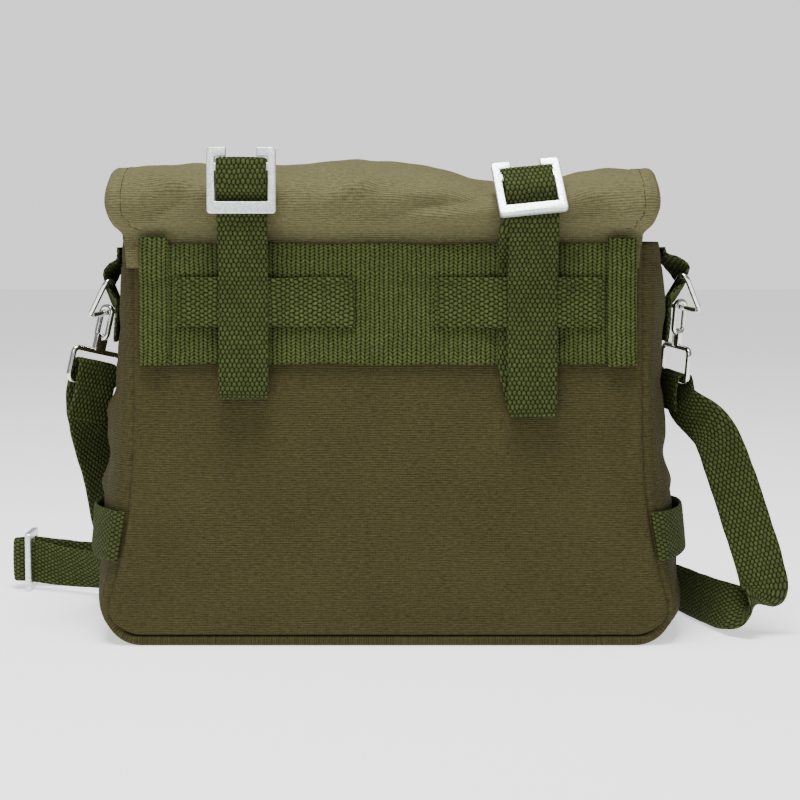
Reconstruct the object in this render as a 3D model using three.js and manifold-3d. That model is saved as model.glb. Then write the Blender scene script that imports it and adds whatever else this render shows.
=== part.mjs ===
// A small canvas haversack, standing on its base and seen from the side that lies against the body.
// Its canvas walls are separate panels: back, front, one gusset that runs down, under and up, and a flap.
// A wide webbing band crosses the back, with two keepers that hold two belt loops, each with an open buckle.
// A shoulder strap runs from hook to hook and lies on the floor in front of the bag, through its slide.
// Frame: millimetres, +Z up, +X to the right seen from behind, -Y towards the wearer's back.
// The origin is the middle of the flat base.

import * as THREE from "three";
import { mergeVertices } from "three/addons/utils/BufferGeometryUtils.js";
import Module from "manifold-3d";

const wasm = await Module();
wasm.setup();

// Driving sizes of the bag.
const panelWidth = 252; // back panel between its seams at the mouth
const bagHeight = 205; // floor to the mouth
const bagDepth = 96; // back panel to front panel, at the widest section
const sideBulge = 17; // how far a stuffed gusset swells past its seams
const backBulge = 3; // how far the back and front panels swell
const cornerRadius = 14; // lower corners of the panels
const seamRidge = 5; // turned seam allowance that frames each panel
const clothThickness = 2;
const webThickness = 1.8;
const gap = 0.3; // left between pieces that touch

// Driving sizes of the flap.
const flapRise = 38; // crown above the mouth
const flapHalfWidth = 131.7; // to where its sides turn down
const flapRoll = 4; // radius of that turn
const flapShift = -2.7; // it lies a little to the left
const flapLap = 13; // overlap on the back panel, under the band
const flapHem = 66; // hem above the floor
const flapHemRadius = 26;
const hoodBulge = 10; // roll of the flap over the back
const flapClearance = 1;
const crownDip = 10; // dent in the crown beside the right belt loop
const crownDipBeside = 8; // from the loop's middle to the dent's

// Driving sizes of the webbing, its hardware and the places they are sewn to.
const webWidth = 25;
const bandHeight = 60;
const bandDrop = 1; // band's top below the mouth
const bandTop = bagHeight - bandDrop;
const bandEndWidth = 15;
const bandEndOverhang = 3;
const keeperDrop = 16.5; // keepers' top below the band's
const keeperTop = bandTop - keeperDrop;
const keeperLength = 90; // the left one
const beltLoopX = 72; // middle of each belt loop from the bag's middle
const sideBandTop = 69;
const wireRadius = 1.35;
const eyeWireRadius = 1.5;
const slideBar = 4;
const slideThickness = 3;
const slideFoot = 6; // lower bar of a belt loop's buckle
const slideRise = 15; // that buckle's foot above the band
const slideHeight = 32.5;
const slideCheek = 4;
const webClearance = 0.5; // each side of a web in metal
const tabDrop = 3; // tab's sewn end below the mouth
const tabLength = 49;
const tabTop = bagHeight - tabDrop;
const tabTail = tabTop - tabLength;
const hookLength = 38; // ring's wire to the bar of the eye
const hookLoop = 17;
const eyeDepth = 17;
const strapTail = 20; // stitched end of the shoulder strap beyond the left hook
const closureX = 70;
const strapSwing = 50; // how far the shoulder strap swings out past the bag
const strapForward = 66; // and how far it lies in front of it

const halfPanel = panelWidth / 2;
const panelFoot = seamRidge + gap;

// Horizontal sections of the bag: height is a share of bagHeight, and the rest are shares of the sizes
// that they are named for.
const bagSections = [
  { height: 0.0, width: 1.11, depth: 0.98, left: 0.45, right: 0.45 },
  { height: 0.1, width: 1.11, depth: 1.0, left: 0.45, right: 0.48 },
  { height: 0.195, width: 1.068, depth: 1.02, left: 0.74, right: 0.76 },
  { height: 0.34, width: 1.025, depth: 1.03, left: 0.94, right: 0.92 },
  { height: 0.47, width: 1.004, depth: 1.02, left: 1.0, right: 0.92 },
  { height: 0.68, width: 1.0, depth: 0.95, left: 0.68, right: 0.68 },
  { height: 0.83, width: 1.0, depth: 0.88, left: 0.53, right: 0.84 },
  { height: 1.0, width: 1.0, depth: 0.82, left: 0.45, right: 0.6 },
];

// Value of one column of a table at a share of its first column, by a smooth curve through its rows.
function column(table, by, name, at) {
  const last = table.length - 1;
  let i = table.findIndex((row) => row[by] >= at);
  if (i < 0) return table[last][name];
  if (i === 0) return table[0][name];
  i -= 1;
  const value = (k) => table[Math.min(Math.max(k, 0), last)][name];
  const place = (k) => table[Math.min(Math.max(k, 0), last)][by];
  const span = place(i + 1) - place(i);
  const slope = (k) => (value(k + 1) - value(k - 1)) / (place(k + 1) - place(k - 1)) * span;
  const t = (at - place(i)) / span;
  return (
    (2 * t ** 3 - 3 * t ** 2 + 1) * value(i) +
    (t ** 3 - 2 * t ** 2 + t) * slope(i) +
    (3 * t ** 2 - 2 * t ** 3) * value(i + 1) +
    (t ** 3 - t ** 2) * slope(i + 1)
  );
}

const section = (name, z) => column(bagSections, "height", name, Math.min(z / bagHeight, 1));
const halfDepth = (z) => (bagDepth / 2) * section("depth", z);
const halfSeam = (z) => halfPanel * section("width", z);
const smooth = (t) => {
  const c = Math.min(Math.max(t, 0), 1);
  return c * c * (3 - 2 * c);
};

// How far the back or front panel stands out from the bag's middle plane.
function panelFace(x, z) {
  const u = Math.min(Math.abs(x) / halfSeam(z), 1);
  const rise = smooth((z - panelFoot) / (bagHeight / 2));
  return halfDepth(z) + backBulge * (1 - u ** 2) * rise;
}

// How far the gusset stands out from the bag's middle on one side, at a depth y and a height z.
function gussetFace(side, y, z) {
  const w = Math.min(Math.abs(y) / halfDepth(z), 1);
  const swell = sideBulge * section(side < 0 ? "left" : "right", z);
  return halfSeam(z) + gap + seamRidge + swell * (1 - w ** 2);
}

// A closed mesh from two matching grids of points, rows of columns: an outer face and an inner one.
function sheet(outer, inner) {
  const rows = outer.length;
  const cols = outer[0].length;
  const position = [];
  for (const grid of [outer, inner]) for (const row of grid) for (const p of row) position.push(...p);
  const at = (side, i, j) => side * rows * cols + i * cols + j;
  const index = [];
  const quad = (a, b, c, d) => index.push(a, b, c, a, c, d);
  for (let i = 0; i < rows - 1; i++)
    for (let j = 0; j < cols - 1; j++) {
      quad(at(0, i, j), at(0, i, j + 1), at(0, i + 1, j + 1), at(0, i + 1, j));
      quad(at(1, i, j), at(1, i + 1, j), at(1, i + 1, j + 1), at(1, i, j + 1));
    }
  for (let j = 0; j < cols - 1; j++) {
    quad(at(0, 0, j + 1), at(0, 0, j), at(1, 0, j), at(1, 0, j + 1));
    quad(at(0, rows - 1, j), at(0, rows - 1, j + 1), at(1, rows - 1, j + 1), at(1, rows - 1, j));
  }
  for (let i = 0; i < rows - 1; i++) {
    quad(at(0, i, 0), at(0, i + 1, 0), at(1, i + 1, 0), at(1, i, 0));
    quad(at(0, i + 1, cols - 1), at(0, i, cols - 1), at(1, i, cols - 1), at(1, i + 1, cols - 1));
  }
  return facingOut(position, index);
}

// A closed mesh from rings of points along a path, whose ends are capped, or joined when it is a loop.
function sweep(rings, loop = false) {
  const n = rings[0].length;
  const position = rings.flat(2);
  const index = [];
  const steps = loop ? rings.length : rings.length - 1;
  for (let i = 0; i < steps; i++)
    for (let j = 0; j < n; j++) {
      const a = i * n;
      const b = ((i + 1) % rings.length) * n;
      const k = (j + 1) % n;
      index.push(a + j, b + j, b + k, a + j, b + k, a + k);
    }
  if (!loop)
    for (let j = 1; j < n - 1; j++) {
      const end = (rings.length - 1) * n;
      index.push(0, j, j + 1, end, end + j + 1, end + j);
    }
  return facingOut(position, index);
}

// The geometry of these triangles, turned to face outwards.
function facingOut(position, index) {
  let volume = 0;
  const corner = (i) => new THREE.Vector3(...position.slice(index[i] * 3, index[i] * 3 + 3));
  for (let i = 0; i < index.length; i += 3) volume += corner(i).dot(corner(i + 1).cross(corner(i + 2)));
  if (volume < 0) index.reverse();
  const geometry = new THREE.BufferGeometry();
  geometry.setAttribute("position", new THREE.Float32BufferAttribute(position, 3));
  geometry.setIndex(index);
  return geometry;
}

// A web along a centre line: each station holds its middle and the direction across its width.
function web(stations, { width = webWidth, thickness = webThickness, loop = false } = {}) {
  const count = stations.length;
  const wrap = (i) => (loop ? (i + count) % count : Math.min(Math.max(i, 0), count - 1));
  const rings = stations.map(({ middle, across }, i) => {
    const along = stations[wrap(i + 1)].middle.clone().sub(stations[wrap(i - 1)].middle).normalize();
    const side = across.clone().addScaledVector(along, -across.dot(along)).normalize();
    const face = new THREE.Vector3().crossVectors(along, side);
    return [[-1, -1], [1, -1], [1, 1], [-1, 1]].map(([s, f]) =>
      middle.clone().addScaledVector(side, (s * width) / 2).addScaledVector(face, (f * thickness) / 2).toArray(),
    );
  });
  return sweep(rings, loop);
}

// Stations along a smooth curve through key stations.
function route(keys, steps, loop = false) {
  const middle = new THREE.CatmullRomCurve3(keys.map((k) => k.middle), loop);
  const across = new THREE.CatmullRomCurve3(keys.map((k) => k.across), loop);
  const count = loop ? steps : steps + 1;
  return Array.from({ length: count }, (_, i) => ({
    middle: middle.getPoint(i / steps),
    across: across.getPoint(i / steps).normalize(),
  }));
}

// A round wire along a closed or open chain of points.
function wire(points, radius, sides, loop) {
  const count = points.length;
  const wrap = (i) => (loop ? (i + count) % count : Math.min(Math.max(i, 0), count - 1));
  const plane = points[0].clone().sub(points[1]).cross(points[Math.floor(count / 2)].clone().sub(points[1]));
  const up = plane.normalize();
  const rings = points.map((p, i) => {
    const along = points[wrap(i + 1)].clone().sub(points[wrap(i - 1)]).normalize();
    const side = new THREE.Vector3().crossVectors(along, up).normalize();
    return Array.from({ length: sides }, (_, k) => {
      const a = ((k + 0.5) / sides) * 2 * Math.PI;
      return p.clone().addScaledVector(side, radius * Math.cos(a)).addScaledVector(up, radius * Math.sin(a)).toArray();
    });
  });
  return sweep(rings, loop);
}

// The corners of a flat polygon, each rounded by an arc of a few points.
function rounded(corners, radius, arc = 4) {
  const count = corners.length;
  return corners.flatMap((corner, i) => {
    const back = corners[(i + count - 1) % count].clone().sub(corner).normalize();
    const ahead = corners[(i + 1) % count].clone().sub(corner).normalize();
    const half = back.angleTo(ahead) / 2;
    const start = corner.clone().addScaledVector(back, radius / Math.tan(half));
    const end = corner.clone().addScaledVector(ahead, radius / Math.tan(half));
    const bisector = back.clone().add(ahead).normalize();
    const centre = corner.clone().addScaledVector(bisector, radius / Math.sin(half));
    return Array.from({ length: arc + 1 }, (_, k) => {
      const mixed = start.clone().sub(centre).lerp(end.clone().sub(centre), k / arc);
      return centre.clone().addScaledVector(mixed.normalize(), radius);
    });
  });
}

const vec = (x, y, z) => new THREE.Vector3(x, y, z);

function solidOf(geometry) {
  const bare = geometry.clone();
  bare.deleteAttribute("normal");
  bare.deleteAttribute("uv");
  const merged = mergeVertices(bare, 1e-4);
  return new wasm.Manifold(
    new wasm.Mesh({
      numProp: 3,
      vertProperties: merged.attributes.position.array,
      triVerts: new Uint32Array(merged.index.array),
    }),
  );
}

function geometryOf(solid) {
  const mesh = solid.getMesh();
  const geometry = new THREE.BufferGeometry();
  geometry.setAttribute("position", new THREE.BufferAttribute(mesh.vertProperties, 3));
  geometry.setIndex(new THREE.BufferAttribute(mesh.triVerts, 1));
  return geometry;
}

// Heights of the rows of a panel whose lower corners are rounded, with the half width of each row.
function cornerRows(foot, top, radius, halfWidth, arcSteps, rows) {
  const list = [];
  for (let k = 0; k <= arcSteps; k++) {
    const a = (k / arcSteps) * (Math.PI / 2);
    const z = foot + radius * (1 - Math.cos(a));
    list.push({ z, half: halfWidth(z) - radius * (1 - Math.sin(a)), turn: a });
  }
  for (let k = 1; k <= rows; k++) {
    const z = foot + radius + ((top - foot - radius) * k) / rows;
    list.push({ z, half: halfWidth(z), turn: Math.PI / 2 });
  }
  return list;
}

const seamRows = cornerRows(panelFoot, bagHeight, cornerRadius, halfSeam, 4, 8);

// The back panel, facing -Y, or the front panel, facing +Y: side is -1 or 1.
function panel(side) {
  const columns = 10;
  const grid = (inset) =>
    seamRows.map(({ z, half }) =>
      Array.from({ length: columns + 1 }, (_, j) => {
        const x = half * ((2 * j) / columns - 1);
        return [x, side * (panelFace(x, z) - inset), z];
      }),
    );
  return sheet(grid(0), grid(clothThickness));
}

// The gusset: one strip down the left side, under the bag and up the right side, framed by its seams.
function gusset() {
  const rows = (side) =>
    seamRows.map(({ z, half, turn }) => ({
      x: side * half,
      z,
      nx: side * Math.sin(turn),
      nz: -Math.cos(turn),
      swell: sideBulge * section(side < 0 ? "left" : "right", z) * Math.sin(turn) ** 2,
    }));
  const path = [...rows(-1).reverse(), ...rows(1)];
  const shares = [-1, -0.93, -0.75, -0.5, -0.25, 0, 0.25, 0.5, 0.75, 0.93, 1];
  const grid = (inner) =>
    path.map(({ x, z, nx, nz, swell }) =>
      shares.map((w) => {
        const out = gap + seamRidge + swell * (1 - w ** 2);
        const edge = Math.abs(w) === 1;
        const offset = inner ? (edge ? gap : out - clothThickness) : out;
        return [x + nx * offset, w * halfDepth(z), z + nz * offset];
      }),
    );
  return sheet(grid(false), grid(true));
}

// The flap's profile in the plane across the bag, from its lap on the back panel, over the crown and
// down the front. Back and front rows give a height and how far the flap swells past its panel. Crown
// rows give a place across the mouth's depth and a share of the rise.
const flapBack = [
  { height: -flapLap / flapRise, swell: 0, width: 0.975, roll: 0 },
  { height: -0.12, swell: 0, width: 0.98, roll: 0 },
  { height: 0.1, swell: 0, width: 0.99, roll: 0.1 },
  { height: 0.24, swell: 0.6, width: 1.005, roll: 0.75 },
  { height: 0.45, swell: 0.95, width: 1.015, roll: 1 },
  { height: 0.68, swell: 0.85, width: 1.015, roll: 1 },
];
const flapCrown = [
  { depth: -1.0, rise: 0.9, width: 1.01, roll: 1 },
  { depth: -0.68, rise: 0.99, width: 1.01, roll: 1 },
  { depth: -0.2, rise: 1.0, width: 1.01, roll: 1 },
  { depth: 0.3, rise: 0.985, width: 1.01, roll: 1 },
  { depth: 0.75, rise: 0.91, width: 1.01, roll: 1 },
  { depth: 1.05, rise: 0.74, width: 1.01, roll: 1 },
];
const flapFront = [
  { height: 0.98, swell: 0.35, width: 1.01, roll: 0.85 },
  { height: 0.84, swell: 0.1, width: 1.01, roll: 0.6 },
  { height: 0.66, swell: 0, width: 1.01, roll: 0.5 },
  { height: 0.5, swell: 0, width: 1.01, roll: 0.45 },
];

function flapProfile(u) {
  const face = (r, z) => panelFace(u * r.width * flapHalfWidth + flapShift, z);
  const back = flapBack.map((r) => {
    const z = bagHeight + r.height * flapRise;
    const y = -(face(r, Math.min(z, bagHeight)) + gap + clothThickness + r.swell * hoodBulge);
    return { ...r, y, z };
  });
  const crown = flapCrown.map((r) => ({ ...r, y: r.depth * halfDepth(bagHeight), z: bagHeight + r.rise * flapRise }));
  const outside = (r, z) => face(r, z) + flapClearance + clothThickness;
  const front = flapFront.map((r) => {
    const z = r.height * bagHeight;
    return { ...r, y: outside(r, z) + r.swell * hoodBulge, z };
  });
  const drop = front[front.length - 1];
  const hem = cornerRows(flapHem, drop.z, flapHemRadius, () => flapHalfWidth * drop.width, 4, 1).reverse().slice(1);
  const lower = hem.map(({ z, half }) => {
    const row = { z, width: half / flapHalfWidth, roll: drop.roll };
    return { ...row, y: outside(row, z) };
  });
  return [...back, ...crown, ...front, ...lower];
}

// The crown's height lost at a place across the flap, beside the right belt loop.
const crownLoss = (x) => crownDip * Math.exp(-(((x - beltLoopX + crownDipBeside) / (beltLoopX * 0.47)) ** 2));

function flap() {
  const across = [0, 0.2, 0.4, 0.55, 0.7, 0.85, 1];
  const turns = [0.35, 0.7, 1];
  const lateral = [
    ...turns.slice().reverse().map((t) => [-1, t]),
    ...across.slice().reverse().map((u) => [-u, 0]),
    ...across.slice(1).map((u) => [u, 0]),
    ...turns.map((t) => [1, t]),
  ];
  const grid = (inset) => {
    const lines = lateral.map(([u, t]) => {
      const rows = flapProfile(u);
      return rows.map((row, i) => {
        const before = rows[Math.max(i - 1, 0)];
        const after = rows[Math.min(i + 1, rows.length - 1)];
        const length = Math.hypot(after.y - before.y, after.z - before.z);
        const ny = -(after.z - before.z) / length;
        const nz = (after.y - before.y) / length;
        const lift = smooth((row.z - bagHeight) / flapRise);
        const side = Math.sign(u);
        const turn = t * row.roll * 1.5;
        const flat = Math.abs(u) * row.width * flapHalfWidth;
        const x = side * (flat + (flapRoll * row.roll + 0.02) * Math.sin(turn) + t * 0.5) + flapShift;
        const fall = flapRoll * row.roll * (1 - Math.cos(turn));
        const face = Math.cos(turn) * inset;
        return [
          x - side * Math.sin(turn) * inset,
          row.y - ny * (fall + face),
          row.z - nz * (fall + face) - crownLoss(x) * lift,
        ];
      });
    });
    return lines[0].map((_, i) => lines.map((line) => line[i]));
  };
  return sheet(grid(0), grid(clothThickness));
}

// Offsets of the layers of webbing on the back, from the panel's face to the middle of each layer.
const layer = webThickness + 2 * gap;
const bandLayer = 2 * gap + webThickness / 2;
const rearLayer = bandLayer + layer;
const keeperLayer = rearLayer + layer;
const frontLayer = keeperLayer + layer + gap;
const lapStart = bagHeight - flapLap;
const lapStep = (z) => (clothThickness + gap) * smooth((z - lapStart + 9) / 8.5);

// A flat web sewn on the back: from left to right, its outward offset given at each place across.
function sewnAcross(left, right, bottom, top, offset, columns) {
  const rows = Math.ceil((top - bottom) / 7);
  const heights = Array.from({ length: rows + 1 }, (_, i) => bottom + ((top - bottom) * i) / rows);
  const grid = (half) =>
    heights.map((z) =>
      Array.from({ length: columns + 1 }, (_, j) => {
        const x = left + ((right - left) * j) / columns;
        return [x, -(panelFace(x, z) + lapStep(z) + offset(x) + half), z];
      }),
    );
  return sheet(grid(webThickness / 2), grid(-webThickness / 2));
}

const bandBottom = bandTop - bandHeight;
const bandHalf = halfPanel - 1;

function bandEnd(side) {
  const ends = [side * bandHalf, side * (bandHalf - bandEndWidth)].sort((a, b) => a - b);
  return sewnAcross(ends[0], ends[1], bandBottom - 1, bandTop + bandEndOverhang, () => rearLayer, 2);
}

// Each belt loop with its keeper and buckle. The keeper starts an inset from the band's bound end and has a
// share of keeperLength. The loop hangs below the band by a tail, its rear layer moves across by shift, and
// its buckle stands forward, leans back by lean and turns in its own plane by roll, both in degrees.
const beltLoops = [
  { name: "left", side: -1, inset: 3.3, share: 1, tail: 17, shift: 0, forward: 0, lean: 2, roll: 0 },
  { name: "right", side: 1, inset: 1.7, share: 0.956, tail: 26, shift: -4.4, forward: 3, lean: 36, roll: 7 },
];
const loopFoot = ({ tail }) => bandBottom - tail;

// A keeper: sewn flat on the band at both ends, and lifted where the belt loop passes under it.
function keeper({ side, inset, share, shift }) {
  const outer = side * (bandHalf - bandEndWidth - inset);
  const [from, to] = [outer, outer - side * keeperLength * share].sort((a, b) => a - b);
  const middle = side * beltLoopX + shift / 2;
  const half = webWidth / 2 + Math.abs(shift) / 2 + 2;
  const lifted = (x) => smooth(1 - (Math.abs(x - middle) - half) / 6);
  const offset = (x) => rearLayer + layer * lifted(x);
  return sewnAcross(from, to, keeperTop - webWidth, keeperTop, offset, 16);
}

const slideFootZ = bandTop + slideRise; // lower edge of a belt loop's buckle
const slidePlane = slideThickness / 2 + 2 * gap + webThickness / 2;
const hoodFace = panelFace(0, bagHeight) + gap + clothThickness + hoodBulge;
const slideOut = hoodFace + gap + webThickness / 2 + layer + slidePlane + 0.4;
const midBarTop = slideHeight - 4.5 - webThickness - 4 * gap;

// The direction across a web that lies on the back, where the panel swells, at a place across the bag.
const acrossBack = (x, z) => vec(2, panelFace(x - 1, z) - panelFace(x + 1, z), 0).normalize();

// Where a point given by its distance out and up from the buckle's lower edge goes when the buckle leans.
function leaned({ side, forward, lean, roll }, out, up, across = 0) {
  const a = THREE.MathUtils.degToRad(lean);
  const r = THREE.MathUtils.degToRad(roll);
  const x = across * Math.cos(r) - up * Math.sin(r);
  const z = across * Math.sin(r) + up * Math.cos(r);
  return vec(
    side * beltLoopX + x,
    -(slideOut + forward + out * Math.cos(a)) + z * Math.sin(a),
    slideFootZ + z * Math.cos(a) + out * Math.sin(a),
  );
}

function beltStrap(loop) {
  const x = loop.side * beltLoopX;
  const foot = loopFoot(loop);
  const stand = slideOut + loop.forward;
  const onBack = (offset, z, shift = 0) => vec(x + shift, -(panelFace(x, z) + lapStep(z) + offset), z);
  const inSlide = (out, up) => leaned(loop, out, up);
  const level = acrossBack(x, bandTop);
  const tipped = leaned(loop, 0, 0, 1).sub(leaned(loop, 0, 0));
  const barMiddle = midBarTop - slideBar / 2;
  const down = (offset, from, to, shift) =>
    Array.from({ length: 13 }, (_, i) => {
      const z = from + ((to - from) * i) / 12;
      return [onBack(offset, z, shift * smooth((z - foot - 3) / webWidth)), level];
    });
  const over = [
    [1, 1], [1, 3.0], [0.5, 3.6], [0, 3.75], [-0.5, 3.6], [-1, 3.0], [-1, 1],
  ].map(([out, up]) => [inSlide(slidePlane * out, barMiddle + up), tipped]);
  const keys = [
    ...down(frontLayer, foot + 3, keeperTop + 3, 0),
    [vec(x, -(stand - slidePlane) + 0.2, slideFootZ - 6), level],
    [inSlide(-slidePlane - 0.2, 0), tipped],
    [inSlide(-slidePlane - 0.2, slideFoot + 1.2), tipped],
    [inSlide(slidePlane, slideFoot + 8.5), tipped],
    ...over,
    [inSlide(-slidePlane - 1, barMiddle - 6), tipped],
    [inSlide(-slidePlane - layer - 0.2, slideFoot + 1), tipped],
    [inSlide(-slidePlane - layer - 0.2, 0).add(vec(loop.shift / 2, 0, 0)), level],
    [vec(x + loop.shift, -(stand - slidePlane - layer - 0.2), slideFootZ - 8), level],
    ...down(rearLayer, bandTop - 7, foot + 3, loop.shift),
    [onBack((rearLayer + frontLayer) / 2, foot + webThickness / 2), level],
  ].map(([middle, across]) => ({ middle, across }));
  return web(route(keys, 2 * keys.length, true), { loop: true });
}

// A flat buckle or slide: a frame with a bar across it. Its upper bar is open in the middle when open is
// true, which lets a web be slipped in from the side.
function slideShape({ height, foot, head, barTop, open }) {
  const inner = webWidth / 2 + webClearance;
  const half = inner + slideCheek;
  const round = 2;
  const outline = new THREE.Shape();
  outline.moveTo(-half + round, 0);
  outline.lineTo(half - round, 0);
  outline.absarc(half - round, round, round, -Math.PI / 2, 0);
  outline.lineTo(half, height - round);
  outline.absarc(half - round, height - round, round, 0, Math.PI / 2);
  if (open) {
    outline.lineTo(open / 2, height);
    outline.lineTo(open / 2, height - head);
    outline.lineTo(inner, height - head);
    outline.lineTo(inner, barTop);
    outline.lineTo(-inner, barTop);
    outline.lineTo(-inner, height - head);
    outline.lineTo(-open / 2, height - head);
    outline.lineTo(-open / 2, height);
  }
  outline.lineTo(-half + round, height);
  outline.absarc(-half + round, height - round, round, Math.PI / 2, Math.PI);
  outline.lineTo(-half, round);
  outline.absarc(-half + round, round, round, Math.PI, Math.PI * 1.5);
  const window = (low, high) => {
    const hole = new THREE.Path();
    hole.moveTo(-inner, low);
    hole.lineTo(-inner, high);
    hole.lineTo(inner, high);
    hole.lineTo(inner, low);
    hole.closePath();
    outline.holes.push(hole);
  };
  window(foot, barTop - slideBar);
  if (!open) window(barTop, height - head);
  return new THREE.ExtrudeGeometry(outline, { depth: slideThickness, bevelEnabled: false, curveSegments: 4 });
}

// A flat shape with every point moved to where it goes in the frame.
function placed(shape, where) {
  const from = shape.attributes.position;
  const position = Array.from({ length: from.count }, (_, i) => where(from.getX(i), from.getY(i), from.getZ(i)).toArray());
  return facingOut(position.flat(), Array.from({ length: from.count }, (_, i) => i));
}

function beltBuckle(loop) {
  const shape = slideShape({ height: slideHeight, foot: slideFoot, head: 4.5, barTop: midBarTop, open: 15 });
  return placed(shape, (x, y, z) => leaned(loop, slideThickness / 2 - z, y, x));
}

// The rings on the gussets. Height is the middle of the ring's long side, out how far it stands off the
// tab's layer on the gusset, reach how far the tab's loop stands out, and splay how much the near end
// stands further out than the far one, as a slope.
const ringSeats = {
  left: { side: -1, height: tabTop - 24, out: 1.6, reach: 5.8, splay: 0.06 },
  right: { side: 1, height: tabTop - 21, out: 3.2, reach: 8.2, splay: 0.16 },
};
const ringTilt = Math.PI / 6; // the near end of the long side is up, the far end down
const ringBase = webWidth + 13;
const ringDrop = 18.5;

// The webbing tab on a gusset: it is sewn down, loops out round the ring's long side and is sewn again.
function ringTab({ side, height, out, reach, splay }) {
  const snug = (wireRadius + 2 * gap + webThickness / 2) / Math.cos(ringTilt);
  const keys = [
    [0, tabTop - height, 0],
    [0, webWidth * 0.66, 0.2],
    [reach * 0.55, webWidth * 0.46, 0.7],
    [reach, webWidth * 0.24, 1],
    [out + snug, webWidth * 0.04, 1],
    [out + snug * 0.88, -snug * 0.55, 1],
    [out + snug * 0.25, -snug * 1.14, 1],
    [0.2, -webWidth * 0.27, 0.6],
    [0, -webWidth * 0.42, 0.1],
    [0, tabTail - height, 0],
  ];
  const rows = new THREE.CatmullRomCurve3(keys.map((k) => vec(...k))).getPoints(32);
  const line = (w, offset) => {
    const flat = rows.map((p) => {
      const tilt = ringTilt * p.z;
      const half = (w * webWidth * (1 - 0.12 * p.z)) / 2;
      const y = half * Math.cos(tilt);
      const z = height + p.y - half * Math.sin(tilt);
      const face = THREE.MathUtils.lerp(gussetFace(side, y, z), gussetFace(side, 0, height), p.z);
      return vec(face + 2.5 * gap + webThickness / 2 + p.x - y * splay * p.z, y, z);
    });
    return flat.map((p, i) => {
      const along = flat[Math.min(i + 1, flat.length - 1)].clone().sub(flat[Math.max(i - 1, 0)]);
      const length = Math.hypot(along.x, along.z);
      return [side * (p.x - (along.z / length) * offset), p.y, p.z + (along.x / length) * offset];
    });
  };
  const grid = (offset) => {
    const lines = [-1, 0, 1].map((w) => line(w, offset));
    return rows.map((_, i) => lines.map((l) => l[i]));
  };
  return sheet(grid(webThickness / 2), grid(-webThickness / 2));
}

// The triangular ring: its long side lies in the tab's loop and its third corner hangs outwards.
function ringCorners({ side, height, out, splay }) {
  const middle = vec(side * (gussetFace(side, 0, height) + 2.5 * gap + webThickness / 2 + out), 0, height);
  const along = vec(-side * splay, Math.cos(ringTilt), -Math.sin(ringTilt)).normalize();
  const hangs = vec(side * 0.66, -0.1, -0.72);
  hangs.addScaledVector(along, -hangs.dot(along)).normalize();
  return [
    middle.clone().addScaledVector(along, -ringBase / 2),
    middle.clone().addScaledVector(along, ringBase / 2),
    middle.clone().addScaledVector(hangs, ringDrop),
  ];
}

function triangleRing(seat) {
  return wire(rounded(ringCorners(seat), 2.6, 3), wireRadius, 8, true);
}

// A snap hook in one piece: a closed wire loop round the ring, a shank, and an eye for the web. It is hung
// on the ring's far side, a share of its length from the long one, towards the bar that carries the strap.
const hooks = {
  left: { seat: ringSeats.left, hung: 0.5, along: vec(-0.21, -0.1, -0.97), bar: vec(-0.72, -0.7, 0.05) },
  right: { seat: ringSeats.right, hung: 0.48, along: vec(-0.07, 0.04, -0.99), bar: vec(0.3, -0.95, 0.05) },
};

function hookFrame({ seat, hung, along, bar }) {
  const [, far, low] = ringCorners(seat);
  const hangs = far.clone().lerp(low, hung);
  const down = along.clone().normalize();
  const acrossEye = bar.clone().addScaledVector(down, -bar.dot(down)).normalize();
  const top = hangs.clone().addScaledVector(down, -(wireRadius + gap + eyeWireRadius));
  const barMiddle = hangs.clone().addScaledVector(down, hookLength);
  return { hangs, down, acrossEye, top, barMiddle, legs: far.clone().sub(low).normalize() };
}

function snapHook(hook) {
  const { down, acrossEye, top, barMiddle, legs } = hookFrame(hook);
  const at = (origin, d, a, direction = acrossEye) =>
    origin.clone().addScaledVector(down, d).addScaledVector(direction, a);
  // The loop's flat plane stands square to the ring's wire.
  const loopAcross = new THREE.Vector3().crossVectors(legs, down).normalize();
  const halfLoop = wireRadius + gap + eyeWireRadius + 0.3;
  const corners = [
    at(top, 0, -halfLoop, loopAcross),
    at(top, 0, halfLoop, loopAcross),
    at(top, hookLoop, halfLoop, loopAcross),
    at(top, hookLoop, -halfLoop, loopAcross),
  ];
  const loop = wire(rounded(corners, halfLoop - 0.4, 3), eyeWireRadius, 6, true);
  const inner = webWidth / 2 + 2 * webClearance + eyeWireRadius + 0.2;
  const eye = wire(
    rounded([at(barMiddle, 0, -inner), at(barMiddle, 0, inner), at(barMiddle, -eyeDepth, inner), at(barMiddle, -eyeDepth, -inner)], 3, 3),
    eyeWireRadius,
    6,
    true,
  );
  const shankTop = at(top, hookLoop - 2.5, 0);
  const shankEnd = at(barMiddle, -eyeDepth, 0);
  const half = 3.6;
  const ends = [shankTop, shankEnd].map((p) =>
    [[-1, -1], [1, -1], [1, 1], [-1, 1]].map(([s, f]) =>
      p.clone().addScaledVector(acrossEye, s * half).addScaledVector(new THREE.Vector3().crossVectors(down, acrossEye), f * 1.6).toArray(),
    ),
  );
  const shank = sweep(ends);
  return geometryOf(solidOf(loop).add(solidOf(eye)).add(solidOf(shank)));
}

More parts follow.
